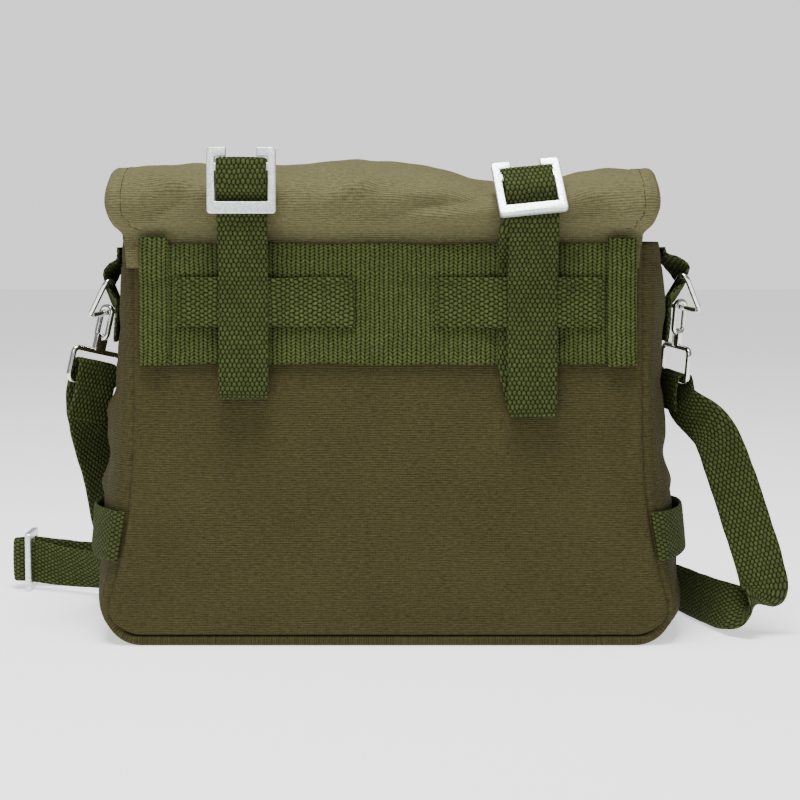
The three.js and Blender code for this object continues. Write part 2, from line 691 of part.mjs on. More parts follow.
// The shoulder strap's way over the floor, from the right hook round the front of the bag, through the
// slide at the left and back to the left hook. Columns: beside is a share of the bag's half width, swing
// of strapSwing past it, deep of half the depth, ahead of strapForward, and rise is a height in strap
// widths above the floor. Across is the direction of the strap's width, and slide marks its way through it.
const strapKeys = [
  { beside: 1, swing: 0.15, deep: 0.05, ahead: 0, rise: 4.8, across: [0.5, -0.85, 0.25] },
  { beside: 1, swing: 0.43, deep: -0.22, ahead: 0, rise: 4.25, across: [0.72, -0.45, 0.5] },
  { beside: 1, swing: 0.62, deep: -0.33, ahead: 0, rise: 3.3, across: [0.88, -0.25, 0.36] },
  { beside: 1, swing: 0.77, deep: -0.42, ahead: 0, rise: 2.35, across: [0.95, -0.15, 0.25] },
  { beside: 1, swing: 0.9, deep: -0.48, ahead: 0, rise: 1.5, across: [0.98, -0.05, 0.18] },
  { beside: 1, swing: 0.94, deep: -0.52, ahead: 0, rise: 0.92, across: [0.97, 0.1, 0.3] },
  { beside: 1, swing: 0.78, deep: -0.46, ahead: 0, rise: 0.58, across: [0.62, 0.5, 0.62] },
  { beside: 1, swing: 0.6, deep: -0.3, ahead: 0, rise: 0.56, across: [0.1, 0.45, 0.9] },
  { beside: 1, swing: 0.4, deep: 0.25, ahead: 0, rise: 0.55, across: [0.05, 0.3, 0.95] },
  { beside: 1, swing: 0.16, deep: 0.85, ahead: 0.1, rise: 0.54, across: [0.05, 0.12, 0.99] },
  { beside: 0.8, swing: 0, deep: 1, ahead: 0.45, rise: 0.52, across: [0, 0, 1] },
  { beside: 0.35, swing: 0, deep: 1, ahead: 0.68, rise: 0.52, across: [0, 0, 1] },
  { beside: -0.2, swing: 0, deep: 1, ahead: 0.72, rise: 0.52, across: [0, 0, 1] },
  { beside: -0.75, swing: 0, deep: 1, ahead: 0.88, rise: 0.52, across: [0, 0, 1] },
  { beside: -1, swing: -0.62, deep: 1, ahead: 1.04, rise: 0.57, across: [0, 0, 1] },
  { beside: -1, swing: -1.27, deep: 1, ahead: 1.04, rise: 0.7, across: [0, 0, 1], slide: "in" },
  { beside: -1, swing: -1.43, deep: 1, ahead: 1.01, rise: 0.7, across: [0, 0, 1] },
  { beside: -1, swing: -1.47, deep: 1, ahead: 0.955, rise: 0.7, across: [0, 0, 1] },
  { beside: -1, swing: -1.43, deep: 1, ahead: 0.9, rise: 0.7, across: [0, 0, 1] },
  { beside: -1, swing: -1.27, deep: 1, ahead: 0.87, rise: 0.7, across: [0, 0, 1], slide: "out" },
  { beside: -1, swing: -0.75, deep: 1, ahead: 0.7, rise: 0.62, across: [0.05, -0.3, 0.9] },
  { beside: -1, swing: -0.25, deep: 1, ahead: 0.45, rise: 0.75, across: [-0.2, -0.45, 0.85] },
  { beside: -1, swing: -0.12, deep: 1, ahead: 0.3, rise: 1.4, across: [-0.6, -0.5, 0.6] },
  { beside: -1, swing: -0.16, deep: 1, ahead: 0.06, rise: 2.3, across: [-0.7, -0.7, 0.15] },
  { beside: -1, swing: -0.2, deep: 0.8, ahead: 0, rise: 3.2, across: [-0.7, -0.7, -0.05] },
  { beside: -1, swing: -0.26, deep: 0.5, ahead: 0, rise: 4.1, across: [-0.7, -0.7, -0.05] },
];
const bagHalfWidth = gussetFace(-1, 0, bagHeight / 2);
const slideHold = (mark) => strapKey(strapKeys.find(({ slide }) => slide === mark));

function strapKey({ beside, swing, deep, ahead, rise, across }) {
  return {
    middle: vec(
      beside * bagHalfWidth + swing * strapSwing,
      deep * (bagDepth / 2) + ahead * strapForward,
      rise * webWidth,
    ),
    across: vec(...across).normalize(),
  };
}

// The turn of the strap's end over the bar of a hook's eye, and the stitched tail beyond it. Facing is
// the side of the bar that the tail hangs on.
function overBar(hook, facing, tail, slack) {
  const { down, acrossEye, barMiddle } = hookFrame(hook);
  const out = new THREE.Vector3().crossVectors(acrossEye, down).normalize().multiplyScalar(facing);
  const radius = eyeWireRadius + 2 * gap + webThickness / 2;
  const key = (o, d) => ({
    middle: barMiddle.clone().addScaledVector(out, o * radius).addScaledVector(down, d),
    across: acrossEye.clone(),
  });
  return [
    key(1.0, tail),
    key(1.3, tail * 0.45),
    key(1.15, 0),
    key(0.75, -radius * 0.75 - slack),
    key(0, -radius - slack),
    key(-0.75, -radius * 0.75 - slack),
    key(-1.15, 0),
  ];
}

function shoulderStrap() {
  const start = overBar(hooks.right, -1, strapTail * 0.8, 0.2);
  const end = overBar(hooks.left, 1, strapTail, eyeDepth / 2).reverse();
  const keys = [...start, ...strapKeys.map(strapKey), ...end];
  const aligned = keys.reduce((list, key) => {
    const last = list[list.length - 1];
    if (last && last.across.dot(key.across) < 0) key.across.negate();
    return [...list, key];
  }, []);
  return web(route(aligned, 190));
}

function strapSlide() {
  const a = slideHold("in");
  const b = slideHold("out");
  const height = 26;
  const shape = slideShape({ height, foot: 4, head: 4, barTop: height / 2 + slideBar / 2 });
  const middle = a.middle.clone().add(b.middle).multiplyScalar(0.5);
  const up = a.across.clone();
  const between = b.middle.clone().sub(a.middle).normalize();
  const normal = new THREE.Vector3().crossVectors(up, between).normalize();
  return placed(shape, (x, y, z) =>
    middle
      .clone()
      .addScaledVector(up, x)
      .addScaledVector(between, y - height / 2)
      .addScaledVector(normal, z - slideThickness / 2),
  );
}

// A slack webbing band sewn across a gusset, from seam to seam.
function sideBand(side) {
  const reach = 0.985;
  const shares = Array.from({ length: 15 }, (_, i) => reach * (i / 7 - 1));
  const grid = (half) =>
    [0, 0.25, 0.5, 0.75, 1].map((v) =>
      shares.map((w) => {
        const z = sideBandTop - webWidth + webWidth * v;
        const slack = 2.2 * (1 - Math.abs(w / reach) ** 3);
        const y = w * halfDepth(z);
        return [side * (gussetFace(side, y, z) + 2 * gap + webThickness / 2 + slack + half), y, z];
      }),
    );
  return sheet(grid(webThickness / 2), grid(-webThickness / 2));
}

// The hidden closure on the front, kept plain: a web sewn on the flap turns round the middle bar of a
// slide, whose lower bar is held by a short tab sewn on the front panel.
const flapFace = (x, z) => panelFace(x, z) + flapClearance + clothThickness;
const closureHeight = 26;
const closureFoot = 32;
const closureBar = closureFoot + closureHeight / 2;
const closurePlane = flapFace(closureX, flapHem) + webThickness - gap;
const sewnOut = 2 * gap + webThickness / 2;
const turnedIn = 15; // closure strap's end beyond the middle bar

function closureWeb(side, points, steps) {
  const across = acrossBack(side * closureX, flapHem);
  across.y *= -1;
  return web(route(points.map(([y, z]) => ({ middle: vec(side * closureX, y, z), across })), steps));
}

function closureStrap(side) {
  const sewn = [58, 40, 20, 8].map((up) => [flapFace(closureX, flapHem + up) + sewnOut, flapHem + up]);
  const round = [[1, 12], [1, 3], [1, -1], [0.92, -2.9], [0, -3.5], [-0.92, -2.9], [-1, -1], [-1, 3]];
  const turn = round.map(([out, up]) => [closurePlane + slidePlane * out, closureBar + up]);
  return closureWeb(side, [...sewn, ...turn, [closurePlane - slidePlane, closureBar + turnedIn]], 40);
}

function closureBuckle(side) {
  const middle = closureHeight / 2 + slideBar / 2;
  const shape = slideShape({ height: closureHeight, foot: 4, head: 4, barTop: middle });
  const face = closurePlane + slideThickness / 2;
  return placed(shape, (x, y, z) => vec(side * closureX + x, face - z, closureFoot + y));
}

function closureTab(side) {
  const bar = closureFoot + slideBar / 2;
  const sewn = [-19, -13].map((up) => [panelFace(closureX, bar + up) + sewnOut, bar + up]);
  const round = [[-1, -5], [-1, 1], [-0.92, 2.9], [0, 3.5], [0.92, 2.9], [1, 1], [1, -5], [0.6, -12]];
  const turn = round.map(([out, up]) => [closurePlane + slidePlane * out, bar + up]);
  return closureWeb(side, [...sewn, ...turn], 30);
}

// Colours of the materials, from the photograph.
const canvas = new THREE.MeshStandardMaterial({ color: 0x4a422b, roughness: 0.9, metalness: 0 });
const webbing = new THREE.MeshStandardMaterial({ color: 0x3a4a24, roughness: 0.85, metalness: 0 });
const castAlloy = new THREE.MeshStandardMaterial({ color: 0xd8dcdc, roughness: 0.4, metalness: 0.9 });
const platedWire = new THREE.MeshStandardMaterial({ color: 0xc8c8c4, roughness: 0.2, metalness: 1 });

const haversack = new THREE.Group();

function add(name, geometry, material) {
  const mesh = new THREE.Mesh(geometry, material);
  mesh.name = name;
  haversack.add(mesh);
}

add("back_panel", panel(-1), canvas);
add("front_panel", panel(1), canvas);
add("gusset", gusset(), canvas);
add("flap", flap(), canvas);
add("back_band", sewnAcross(-bandHalf, bandHalf, bandBottom, bandTop, () => bandLayer, 12), webbing);
for (const loop of beltLoops) {
  add(`keeper_${loop.name}`, keeper(loop), webbing);
  add(`belt_strap_${loop.name}`, beltStrap(loop), webbing);
  add(`belt_buckle_${loop.name}`, beltBuckle(loop), castAlloy);
}
for (const [name, side] of [["left", -1], ["right", 1]]) {
  add(`band_end_${name}`, bandEnd(side), webbing);
  add(`ring_tab_${name}`, ringTab(ringSeats[name]), webbing);
  add(`triangle_ring_${name}`, triangleRing(ringSeats[name]), platedWire);
  add(`snap_hook_${name}`, snapHook(hooks[name]), platedWire);
  add(`side_band_${name}`, sideBand(side), webbing);
  add(`closure_strap_${name}`, closureStrap(side), webbing);
  add(`closure_buckle_${name}`, closureBuckle(side), castAlloy);
  add(`closure_tab_${name}`, closureTab(side), webbing);
}
add("shoulder_strap", shoulderStrap(), webbing);
add("strap_slide", strapSlide(), castAlloy);

export default haversack;
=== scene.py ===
"""A small canvas haversack that stands on its base, seen from the side that lies against the body.

Lengths are in millimetres until a mesh is made, which is in metres. X runs to the right, Y away from the
camera and Z up, and the origin is the middle of the bag's flat base.
"""

import math

import bmesh
import bpy
import numpy as np
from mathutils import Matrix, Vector


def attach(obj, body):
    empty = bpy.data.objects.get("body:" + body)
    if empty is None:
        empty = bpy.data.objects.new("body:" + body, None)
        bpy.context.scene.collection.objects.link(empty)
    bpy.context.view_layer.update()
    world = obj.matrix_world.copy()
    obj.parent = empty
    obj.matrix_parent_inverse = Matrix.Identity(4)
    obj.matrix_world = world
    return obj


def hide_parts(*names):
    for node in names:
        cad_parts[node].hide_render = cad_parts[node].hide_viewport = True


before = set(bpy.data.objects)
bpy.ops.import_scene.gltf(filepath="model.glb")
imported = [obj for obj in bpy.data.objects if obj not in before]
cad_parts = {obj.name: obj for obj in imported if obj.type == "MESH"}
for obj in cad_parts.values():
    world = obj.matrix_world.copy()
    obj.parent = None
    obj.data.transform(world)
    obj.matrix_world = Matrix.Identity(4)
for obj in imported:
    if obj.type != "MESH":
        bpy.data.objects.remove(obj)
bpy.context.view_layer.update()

# The bag.
PANEL_WIDTH = 252.0
BAG_HEIGHT = 205.0
BAG_DEPTH = 96.0
SIDE_BULGE = 17.0
BACK_BULGE = 3.0
CORNER_RADIUS = 14.0
SEAM_RIDGE = 5.0
CLOTH = 2.0
WEB = 1.8
GAP = 0.3

# The flap.
FLAP_RISE = 38.0
FLAP_HALF_WIDTH = 131.7
FLAP_ROLL = 4.0
FLAP_SHIFT = -2.7
FLAP_LAP = 13.0
FLAP_HEM = 66.0
FLAP_HEM_RADIUS = 26.0
HOOD_BULGE = 10.0
FLAP_CLEARANCE = 1.0
CROWN_DIP = 10.0
CROWN_DIP_BESIDE = 8.0

# The webbing and its hardware.
WEB_WIDTH = 25.0
BAND_HEIGHT = 60.0
BAND_TOP = 204.0
BAND_END_WIDTH = 15.0
BAND_END_OVERHANG = 3.0
KEEPER_TOP = 187.5
KEEPER_LENGTH = 90.0
BELT_LOOP_X = 72.0
SIDE_BAND_TOP = 69.0
WIRE_RADIUS = 1.35
EYE_WIRE_RADIUS = 1.5
SLIDE_BAR = 4.0
SLIDE_THICKNESS = 3.0
SLIDE_FOOT = 6.0
SLIDE_HEIGHT = 32.5
WEB_CLEARANCE = 0.5
TAB_TOP = 202.0
TAB_TAIL = 153.0
HOOK_LENGTH = 38.0
HOOK_LOOP = 17.0
EYE_DEPTH = 17.0
STRAP_TAIL = 20.0
CLOSURE_X = 70.0
STRAP_SWING = 50.0
STRAP_FORWARD = 66.0

HALF_PANEL = PANEL_WIDTH / 2
PANEL_FOOT = SEAM_RIDGE + GAP

# Horizontal sections of the bag: height is a share of BAG_HEIGHT, the rest of what they are named for.
SECTIONS = {
    "height": [0.0, 0.1, 0.195, 0.34, 0.47, 0.68, 0.83, 1.0],
    "width": [1.11, 1.11, 1.068, 1.025, 1.004, 1.0, 1.0, 1.0],
    "depth": [0.98, 1.0, 1.02, 1.03, 1.02, 0.95, 0.88, 0.82],
    "left": [0.45, 0.45, 0.74, 0.94, 1.0, 0.68, 0.53, 0.45],
    "right": [0.45, 0.48, 0.76, 0.92, 0.92, 0.68, 0.84, 0.6],
}


def section(name, z):
    """Value of one column of SECTIONS at a height: a cubic between rows, with central slopes at them."""
    level = np.array(SECTIONS["height"])
    value = np.array(SECTIONS[name])
    last = len(level) - 1
    at = np.clip(np.asarray(z, float) / BAG_HEIGHT, 0, 1)
    i = np.clip(np.searchsorted(level, at) - 1, 0, last - 1)
    span = level[i + 1] - level[i]

    def slope(k):
        low, high = np.maximum(k - 1, 0), np.minimum(k + 1, last)
        return (value[high] - value[low]) / (level[high] - level[low]) * span

    t = (at - level[i]) / span
    return (
        (2 * t**3 - 3 * t**2 + 1) * value[i]
        + (t**3 - 2 * t**2 + t) * slope(i)
        + (3 * t**2 - 2 * t**3) * value[i + 1]
        + (t**3 - t**2) * slope(i + 1)
    )


def half_depth(z):
    """Half the bag's depth at a height."""
    return BAG_DEPTH / 2 * section("depth", z)


def half_seam(z):
    """Half the distance between the seams at a height."""
    return HALF_PANEL * section("width", z)


def smooth(t):
    """0 below 0, 1 above 1 and an even ease between them."""
    c = np.clip(t, 0, 1)
    return c * c * (3 - 2 * c)


def panel_face(x, z):
    """Distance of a panel from the middle plane: half the bag's depth, and a swell between the seams."""
    u = np.minimum(np.abs(x) / half_seam(z), 1)
    rise = smooth((z - PANEL_FOOT) / (BAG_HEIGHT / 2))
    return half_depth(z) + BACK_BULGE * (1 - u**2) * rise


def gusset_face(side, y, z):
    """Distance of a gusset from the middle: its seam, the ridge, and a swell between the seams."""
    w = np.minimum(np.abs(y) / half_depth(z), 1)
    swell = SIDE_BULGE * section("left" if side < 0 else "right", z)
    return half_seam(z) + GAP + SEAM_RIDGE + swell * (1 - w**2)


# Numbers that vary smoothly over the cloth.
def waves(points, length, seed, count=7):
    """Sum of sine waves of about one wavelength in random directions, between about -1 and 1."""
    rng = np.random.default_rng(seed)
    total = np.zeros(points.shape[:-1])
    for _ in range(count):
        way = rng.normal(size=points.shape[-1])
        way *= 2 * math.pi / (length * rng.uniform(0.7, 1.4)) / np.linalg.norm(way)
        total += np.sin(points @ way + rng.uniform(0, 2 * math.pi))
    return total / math.sqrt(count)


def creases(x, z, rows):
    """Sum of soft ridges: a bell across each crease and a longer bell along it.

    A row holds the middle x and z, the direction in degrees, half length, half width and height."""
    total = np.zeros(np.broadcast(x, z).shape)
    for cx, cz, turn, length, width, height in rows:
        c, s = math.cos(math.radians(turn)), math.sin(math.radians(turn))
        along = (x - cx) * c + (z - cz) * s
        across = (z - cz) * c - (x - cx) * s
        total += height * np.exp(-((along / length) ** 2) - (across / width) ** 2)
    return total


# Meshes.
def place(name, data):
    """A new object of this mesh, light or camera, in the scene at the origin."""
    obj = bpy.data.objects.new(name, data)
    bpy.context.scene.collection.objects.link(obj)
    return obj


def add_mesh(name, points, quads, uv):
    """A mesh from points in millimetres and quads of their numbers, turned to face out."""
    p = points[quads]
    middle = p.mean(axis=1)
    normal = np.cross(p[:, 2] - p[:, 0], p[:, 3] - p[:, 1])
    if (middle * normal).sum() < 0:
        quads = quads[:, ::-1]
    mesh = bpy.data.meshes.new(name)
    mesh.vertices.add(len(points))
    mesh.vertices.foreach_set("co", (points / 1000).astype(np.float32).ravel())
    mesh.loops.add(quads.size)
    mesh.loops.foreach_set("vertex_index", quads.astype(np.int32).ravel())
    mesh.polygons.add(len(quads))
    mesh.polygons.foreach_set("loop_start", np.arange(0, quads.size, 4, dtype=np.int32))
    mesh.polygons.foreach_set("use_smooth", np.ones(len(quads), bool))
    layer = mesh.uv_layers.new(name="cloth")
    layer.data.foreach_set("uv", (uv[quads.ravel()] / 100).astype(np.float32).ravel())
    mesh.update(calc_edges=True)
    mesh.validate()
    return place(name, mesh)


def grid_quads(rows, columns, wrap_rows=False, wrap_columns=False):
    """Quads between neighbouring points of a grid, joined round in either direction if asked."""
    i = np.arange(rows if wrap_rows else rows - 1)[:, None]
    j = np.arange(columns if wrap_columns else columns - 1)[None, :]
    a = i * columns + j
    b = i * columns + (j + 1) % columns
    c = ((i + 1) % rows) * columns + (j + 1) % columns
    d = ((i + 1) % rows) * columns + j
    return np.stack([a, b, c, d], -1).reshape(-1, 4)


def normals(grid):
    """Unit normals of a grid of points, from its two directions."""
    down = np.gradient(grid, axis=0)
    over = np.gradient(grid, axis=1)
    n = np.cross(down, over)
    return n / np.maximum(np.linalg.norm(n, axis=-1, keepdims=True), 1e-9)


def double_sheet(name, outer, inner, uv, closed=False):
    """A closed sheet from an outer and an inner grid, joined along their rims."""
    rows, columns = outer.shape[:2]
    half = rows * columns
    top = grid_quads(rows, columns, wrap_rows=closed)
    under = top[:, ::-1] + half
    index = np.arange(half).reshape(rows, columns)
    if closed:
        rims = [index[:, 0], index[::-1, -1]]
    else:
        rims = [np.concatenate([index[:, 0], index[-1, 1:], index[-2::-1, -1], index[0, -2::-1]])]
    walls = []
    for line in rims:
        if closed:
            line = np.append(line, line[0])
        walls.append(np.stack([line[:-1], line[1:], line[1:] + half, line[:-1] + half], -1))
    quads = np.concatenate([top, under, *walls])
    points = np.concatenate([outer.reshape(-1, 3), inner.reshape(-1, 3)])
    flat = np.concatenate([uv.reshape(-1, 2)] * 2)
    return add_mesh(name, points, quads, flat)


def arc_lengths(grid):
    """Distances along the rows and along the columns of a grid, as texture coordinates in millimetres."""
    over = np.linalg.norm(np.diff(grid, axis=1), axis=-1)
    down = np.linalg.norm(np.diff(grid, axis=0), axis=-1)
    u = np.concatenate([np.zeros((grid.shape[0], 1)), np.cumsum(over, axis=1)], axis=1)
    v = np.concatenate([np.zeros((1, grid.shape[1])), np.cumsum(down, axis=0)], axis=0)
    return np.stack([u - u[:, -1:] / 2, np.broadcast_to(v.mean(axis=1, keepdims=True), u.shape)], -1)


# Curves. A smooth curve through points, spaced by the square root of their distances.
def curve(points, t, closed=False):
    """Points at shares t of a centripetal Catmull-Rom curve through these points."""
    p = np.asarray(points, float)
    n = len(p)
    if closed:
        s = np.asarray(t) * n
        i = np.floor(s).astype(int) % n
        w = s - np.floor(s)
        p0, p1, p2, p3 = p[(i - 1) % n], p[i], p[(i + 1) % n], p[(i + 2) % n]
    else:
        padded = np.concatenate([[2 * p[0] - p[1]], p, [2 * p[-1] - p[-2]]])
        s = np.asarray(t) * (n - 1)
        i = np.minimum(np.floor(s).astype(int), n - 2)
        w = s - i
        p0, p1, p2, p3 = padded[i], padded[i + 1], padded[i + 2], padded[i + 3]

    def root(a, b):
        return np.maximum(np.linalg.norm(b - a, axis=-1, keepdims=True), 1e-8) ** 0.5

    d0, d1, d2 = root(p0, p1), root(p1, p2), root(p2, p3)
    m1 = ((p1 - p0) / d0 - (p2 - p0) / (d0 + d1) + (p2 - p1) / d1) * d1
    m2 = ((p2 - p1) / d1 - (p3 - p1) / (d1 + d2) + (p3 - p2) / d2) * d1
    w = w[:, None]
    return (
        (2 * w**3 - 3 * w**2 + 1) * p1
        + (w**3 - 2 * w**2 + w) * m1
        + (3 * w**2 - 2 * w**3) * p2
        + (w**3 - w**2) * m2
    )


def even(points, step, closed=False):
    """The same line with its points an even step apart, and their distances along it."""
    p = np.concatenate([points, points[:1]]) if closed else points
    s = np.concatenate([[0], np.cumsum(np.linalg.norm(np.diff(p[:, :3], axis=0), axis=1))])
    count = max(int(round(s[-1] / step)), 4)
    at = np.linspace(0, s[-1], count + 1)
    line = np.stack([np.interp(at, s, p[:, k]) for k in range(p.shape[1])], -1)
    return (line[:-1], at[:-1]) if closed else (line, at)


def unit(v):
    """Vectors scaled to a length of one."""
    return v / np.maximum(np.linalg.norm(v, axis=-1, keepdims=True), 1e-9)


# Webbing.
WEAVES = {
    # pitch across and along, stagger of every second row, slant of the strands, how narrow and how short
    # a strand is in its cell, and depth of the relief
    "cord": (2.3, 2.3, 1.0, 0.0, 2.4, 1.9, 0.45),
    "plait": (2.32, 1.76, 0.0, 0.9, 1.95, 2.2, 0.5),
    "fuzzy": (2.3, 2.26, 1.0, 0.35, 2.3, 2.1, 0.35),
}
WEB_SQUARENESS = 14  # power of the curve that rounds a web's edges
STRAND_DRIFT = (0.14, 0.22)  # how far the strands wander across and along a web
WEB_FRAY = 0.12  # how far a web's face wanders in and out
STEPS_PER_KEY = 12


def woven(s, t, style):
    """Height of the weave from 0 to 1: rows of oval strands side by side, in columns along the web.

    Every second row is staggered, and strands lean to one side and the other in turn by the slant."""
    across, along, stagger, slant, narrow, short, _ = WEAVES[style]
    row = np.round(t / along)
    column = s / across + 0.5 * stagger * np.mod(row, 2)
    k = np.floor(column)
    a = column - k - 0.5
    b = t / along + slant * a * (1 - 2 * np.mod(k, 2))
    b = b - np.round(b)
    dome = np.sqrt(np.clip(1 - (narrow * a) ** 2 - (short * b) ** 2, 0, 1))
    return 0.3 * np.sqrt(np.clip(1 - (2 * a) ** 2, 0, 1)) + 0.7 * dome


def webbing(name, middle, s, t, style, closed=False, seed=1):
    """A woven web around a grid of its middle layer, with relief on both faces and thin rounded edges.

    s and t are the distances across and along the web of each point, in millimetres."""
    if closed:
        n = normals(np.concatenate([middle[-2:], middle, middle[:2]]))[2:-2]
    else:
        n = normals(middle)
    half = (s.max() - s.min()) / 2
    edge = np.sqrt(np.clip(1 - np.abs((s - s.min()) / half - 1) ** WEB_SQUARENESS, 0.02, 1))
    depth = WEAVES[style][-1]
    p = np.stack([s, t], -1)
    s = s + STRAND_DRIFT[0] * waves(p, 9, seed)
    t = t + STRAND_DRIFT[1] * waves(p, 12, seed + 1)
    front = woven(s, t, style)
    body = WEB / 2 - depth * 0.55
    uv = np.stack([s, t], -1)
    frayed = WEB_FRAY * waves(uv, 26, seed + 7)
    outer = middle + n * ((body + depth * front) * edge + frayed)[..., None]
    inner = middle - n * ((body + depth * front) * edge - frayed)[..., None]
    return double_sheet(name, outer, inner, uv, closed=closed)


def ribbon(name, keys, step, columns, closed=False, seed=1):
    """A corded web along a route. Each key is its middle and the direction of its width: six numbers."""
    keys = np.asarray(keys, float)
    count = len(keys) * STEPS_PER_KEY
    t = np.arange(count) / count if closed else np.linspace(0, 1, count + 1)
    line = np.concatenate([curve(keys[:, :3], t, closed), curve(keys[:, 3:], t, closed)], -1)
    line, at = even(line, step, closed)
    if closed:
        way = np.roll(line[:, :3], -1, axis=0) - np.roll(line[:, :3], 1, axis=0)
    else:
        way = np.gradient(line[:, :3], axis=0)
    way = unit(way)
    side = unit(line[:, 3:])
    side = unit(side - way * (side * way).sum(-1, keepdims=True))
    s = np.linspace(-WEB_WIDTH / 2, WEB_WIDTH / 2, columns)
    wavy = 1 + 0.008 * waves(at[:, None], 14, seed + 3)
    grid = line[:, None, :3] + side[:, None, :] * (s[None, :, None] * wavy[:, None, None])
    ss = np.broadcast_to(s + WEB_WIDTH / 2, grid.shape[:2])
    tt = np.broadcast_to(at[:, None], grid.shape[:2])
    return webbing(name, grid, ss, tt, "cord", closed, seed=seed), line


# Round wire and flat cast frames.
WIRE_SIDES = 14
WIRE_STEP = 0.8
CAST_EDGE = 0.55  # radius of a cast frame's edges


def wire_points(p, radius):
    """Rings of points round a closed flat chain of points: circles square to the chain, one at each."""
    way = unit(np.roll(p, -1, axis=0) - np.roll(p, 1, axis=0))
    plane = unit(np.cross(p[0] - p[1], p[len(p) // 2] - p[1]))
    side = unit(np.cross(way, plane))
    up = np.cross(side, way)
    a = np.arange(WIRE_SIDES) / WIRE_SIDES * 2 * math.pi
    ring = np.cos(a)[None, :, None] * side[:, None] + np.sin(a)[None, :, None] * up[:, None]
    return p[:, None] + radius * ring


def rounded(corners, radius, arc=8):
    """A closed chain of points through these corners, each rounded by an arc of this radius."""
    c = np.asarray(corners, float)
    chain = []
    for i in range(len(c)):
        back, ahead = unit(c[i - 1] - c[i]), unit(c[(i + 1) % len(c)] - c[i])
        half = math.acos(float(np.clip(back @ ahead, -1, 1))) / 2
        start, end = c[i] + back * radius / math.tan(half), c[i] + ahead * radius / math.tan(half)
        centre = c[i] + unit(back + ahead) * radius / math.sin(half)
        for k in range(arc + 1):
            mixed = (start - centre) * (1 - k / arc) + (end - centre) * k / arc
            chain.append(centre + unit(mixed) * radius)
    return np.array(chain)


def wire(name, corners, bend, radius):
    """A closed round wire bent round these corners: rings of points at even steps along it."""
    chain, _ = even(rounded(corners, bend), WIRE_STEP, closed=True)
    rings = wire_points(chain, radius)
    rows, columns = rings.shape[:2]
    uv = np.stack(np.meshgrid(np.arange(columns) * 0.6, np.arange(rows) * WIRE_STEP), -1)
    return add_mesh(name, rings.reshape(-1, 3), grid_quads(rows, columns, True, True), uv.reshape(-1, 2))


def join(name, objects):
    """One object from several, with its place in its mesh."""
    whole = bmesh.new()
    for obj in objects:
        whole.from_mesh(obj.data)
        bpy.data.objects.remove(obj)
    mesh = bpy.data.meshes.new(name)
    whole.to_mesh(mesh)
    whole.free()
    return place(name, mesh)


def cast_frame(name, node):
    """The cast frame of a CAD node: its loose faces merged and made flat, and every edge softened."""
    mesh = bpy.data.meshes.new(name)
    shape = bmesh.new()
    shape.from_mesh(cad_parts[node].data)
    bmesh.ops.remove_doubles(shape, verts=shape.verts, dist=2e-5)
    bmesh.ops.dissolve_limit(shape, angle_limit=math.radians(1.5), verts=shape.verts, edges=shape.edges)
    shape.to_mesh(mesh)
    shape.free()
    if "sharp_face" in mesh.attributes:
        mesh.attributes.remove(mesh.attributes["sharp_face"])
    mesh.polygons.foreach_set("use_smooth", np.ones(len(mesh.polygons), bool))
    obj = place(name, mesh)
    bevel = obj.modifiers.new("softened edges", "BEVEL")
    bevel.width = CAST_EDGE / 1000
    bevel.segments = 3
    bevel.limit_method = "ANGLE"
    bevel.angle_limit = math.radians(35)
    bevel.harden_normals = True
    return obj


# Cloth panels.
def corner_rows(foot, top, radius, half_width, arc_rows, rows):
    """Rows of a panel with rounded lower corners: heights, half widths and how far the corner has turned."""
    a = np.linspace(0, math.pi / 2, arc_rows)
    z = np.concatenate([foot + radius * (1 - np.cos(a)), np.linspace(foot + radius, top, rows)[1:]])
    turn = np.concatenate([a, np.full(rows - 1, math.pi / 2)])
    half = half_width(z) - radius * (1 - np.sin(turn))
    return z, half, turn


# The panel's rim laps over the gusset's seam along its sides, and the seam is sunk below it there.
RIM_LAP = 2.4
RIM_SUNK = 3.3
RIM_DIP = 2.4
RIM_ROUND = 2.6

# Points across a panel and a gusset, and along the gusset's base.
PANEL_COLUMNS = 150
GUSSET_COLUMNS = 56
BASE_ROWS = 60

# Height up to which a panel is creased: what lies over it presses it flat above. By side, -1 is the back.
CREASED_TO = {-1: 126, 1: 52}

PANEL_Z, PANEL_HALF, PANEL_TURN = corner_rows(PANEL_FOOT, BAG_HEIGHT, CORNER_RADIUS, half_seam, 14, 84)

# Creases of the back panel: middle x and z, direction, half length, half width and height.
BACK_CREASES = [
    (-112, 133, -38, 16, 4.0, 1.1),
    (-104, 127, -32, 14, 3.2, -0.8),
    (-118, 120, -60, 18, 5.0, 0.8),
    (112, 118, 74, 30, 5.0, 1.0),
    (118, 96, 80, 34, 4.5, -0.9),
    (104, 70, 70, 30, 8.0, 0.8),
    (-120, 62, 82, 36, 5.0, 0.9),
    (-30, 30, 4, 60, 7.0, 0.7),
    (60, 38, -6, 50, 6.0, 0.6),
    (0, 14, 0, 110, 4.0, -0.7),
    (-78, 52, 25, 34, 9.0, 0.7),
    (30, 96, 12, 60, 14.0, 0.8),
    (-40, 108, -10, 60, 12.0, -0.5),
    (128, 30, 50, 18, 4.0, 0.8),
    (-130, 30, -50, 18, 4.0, 0.8),
]


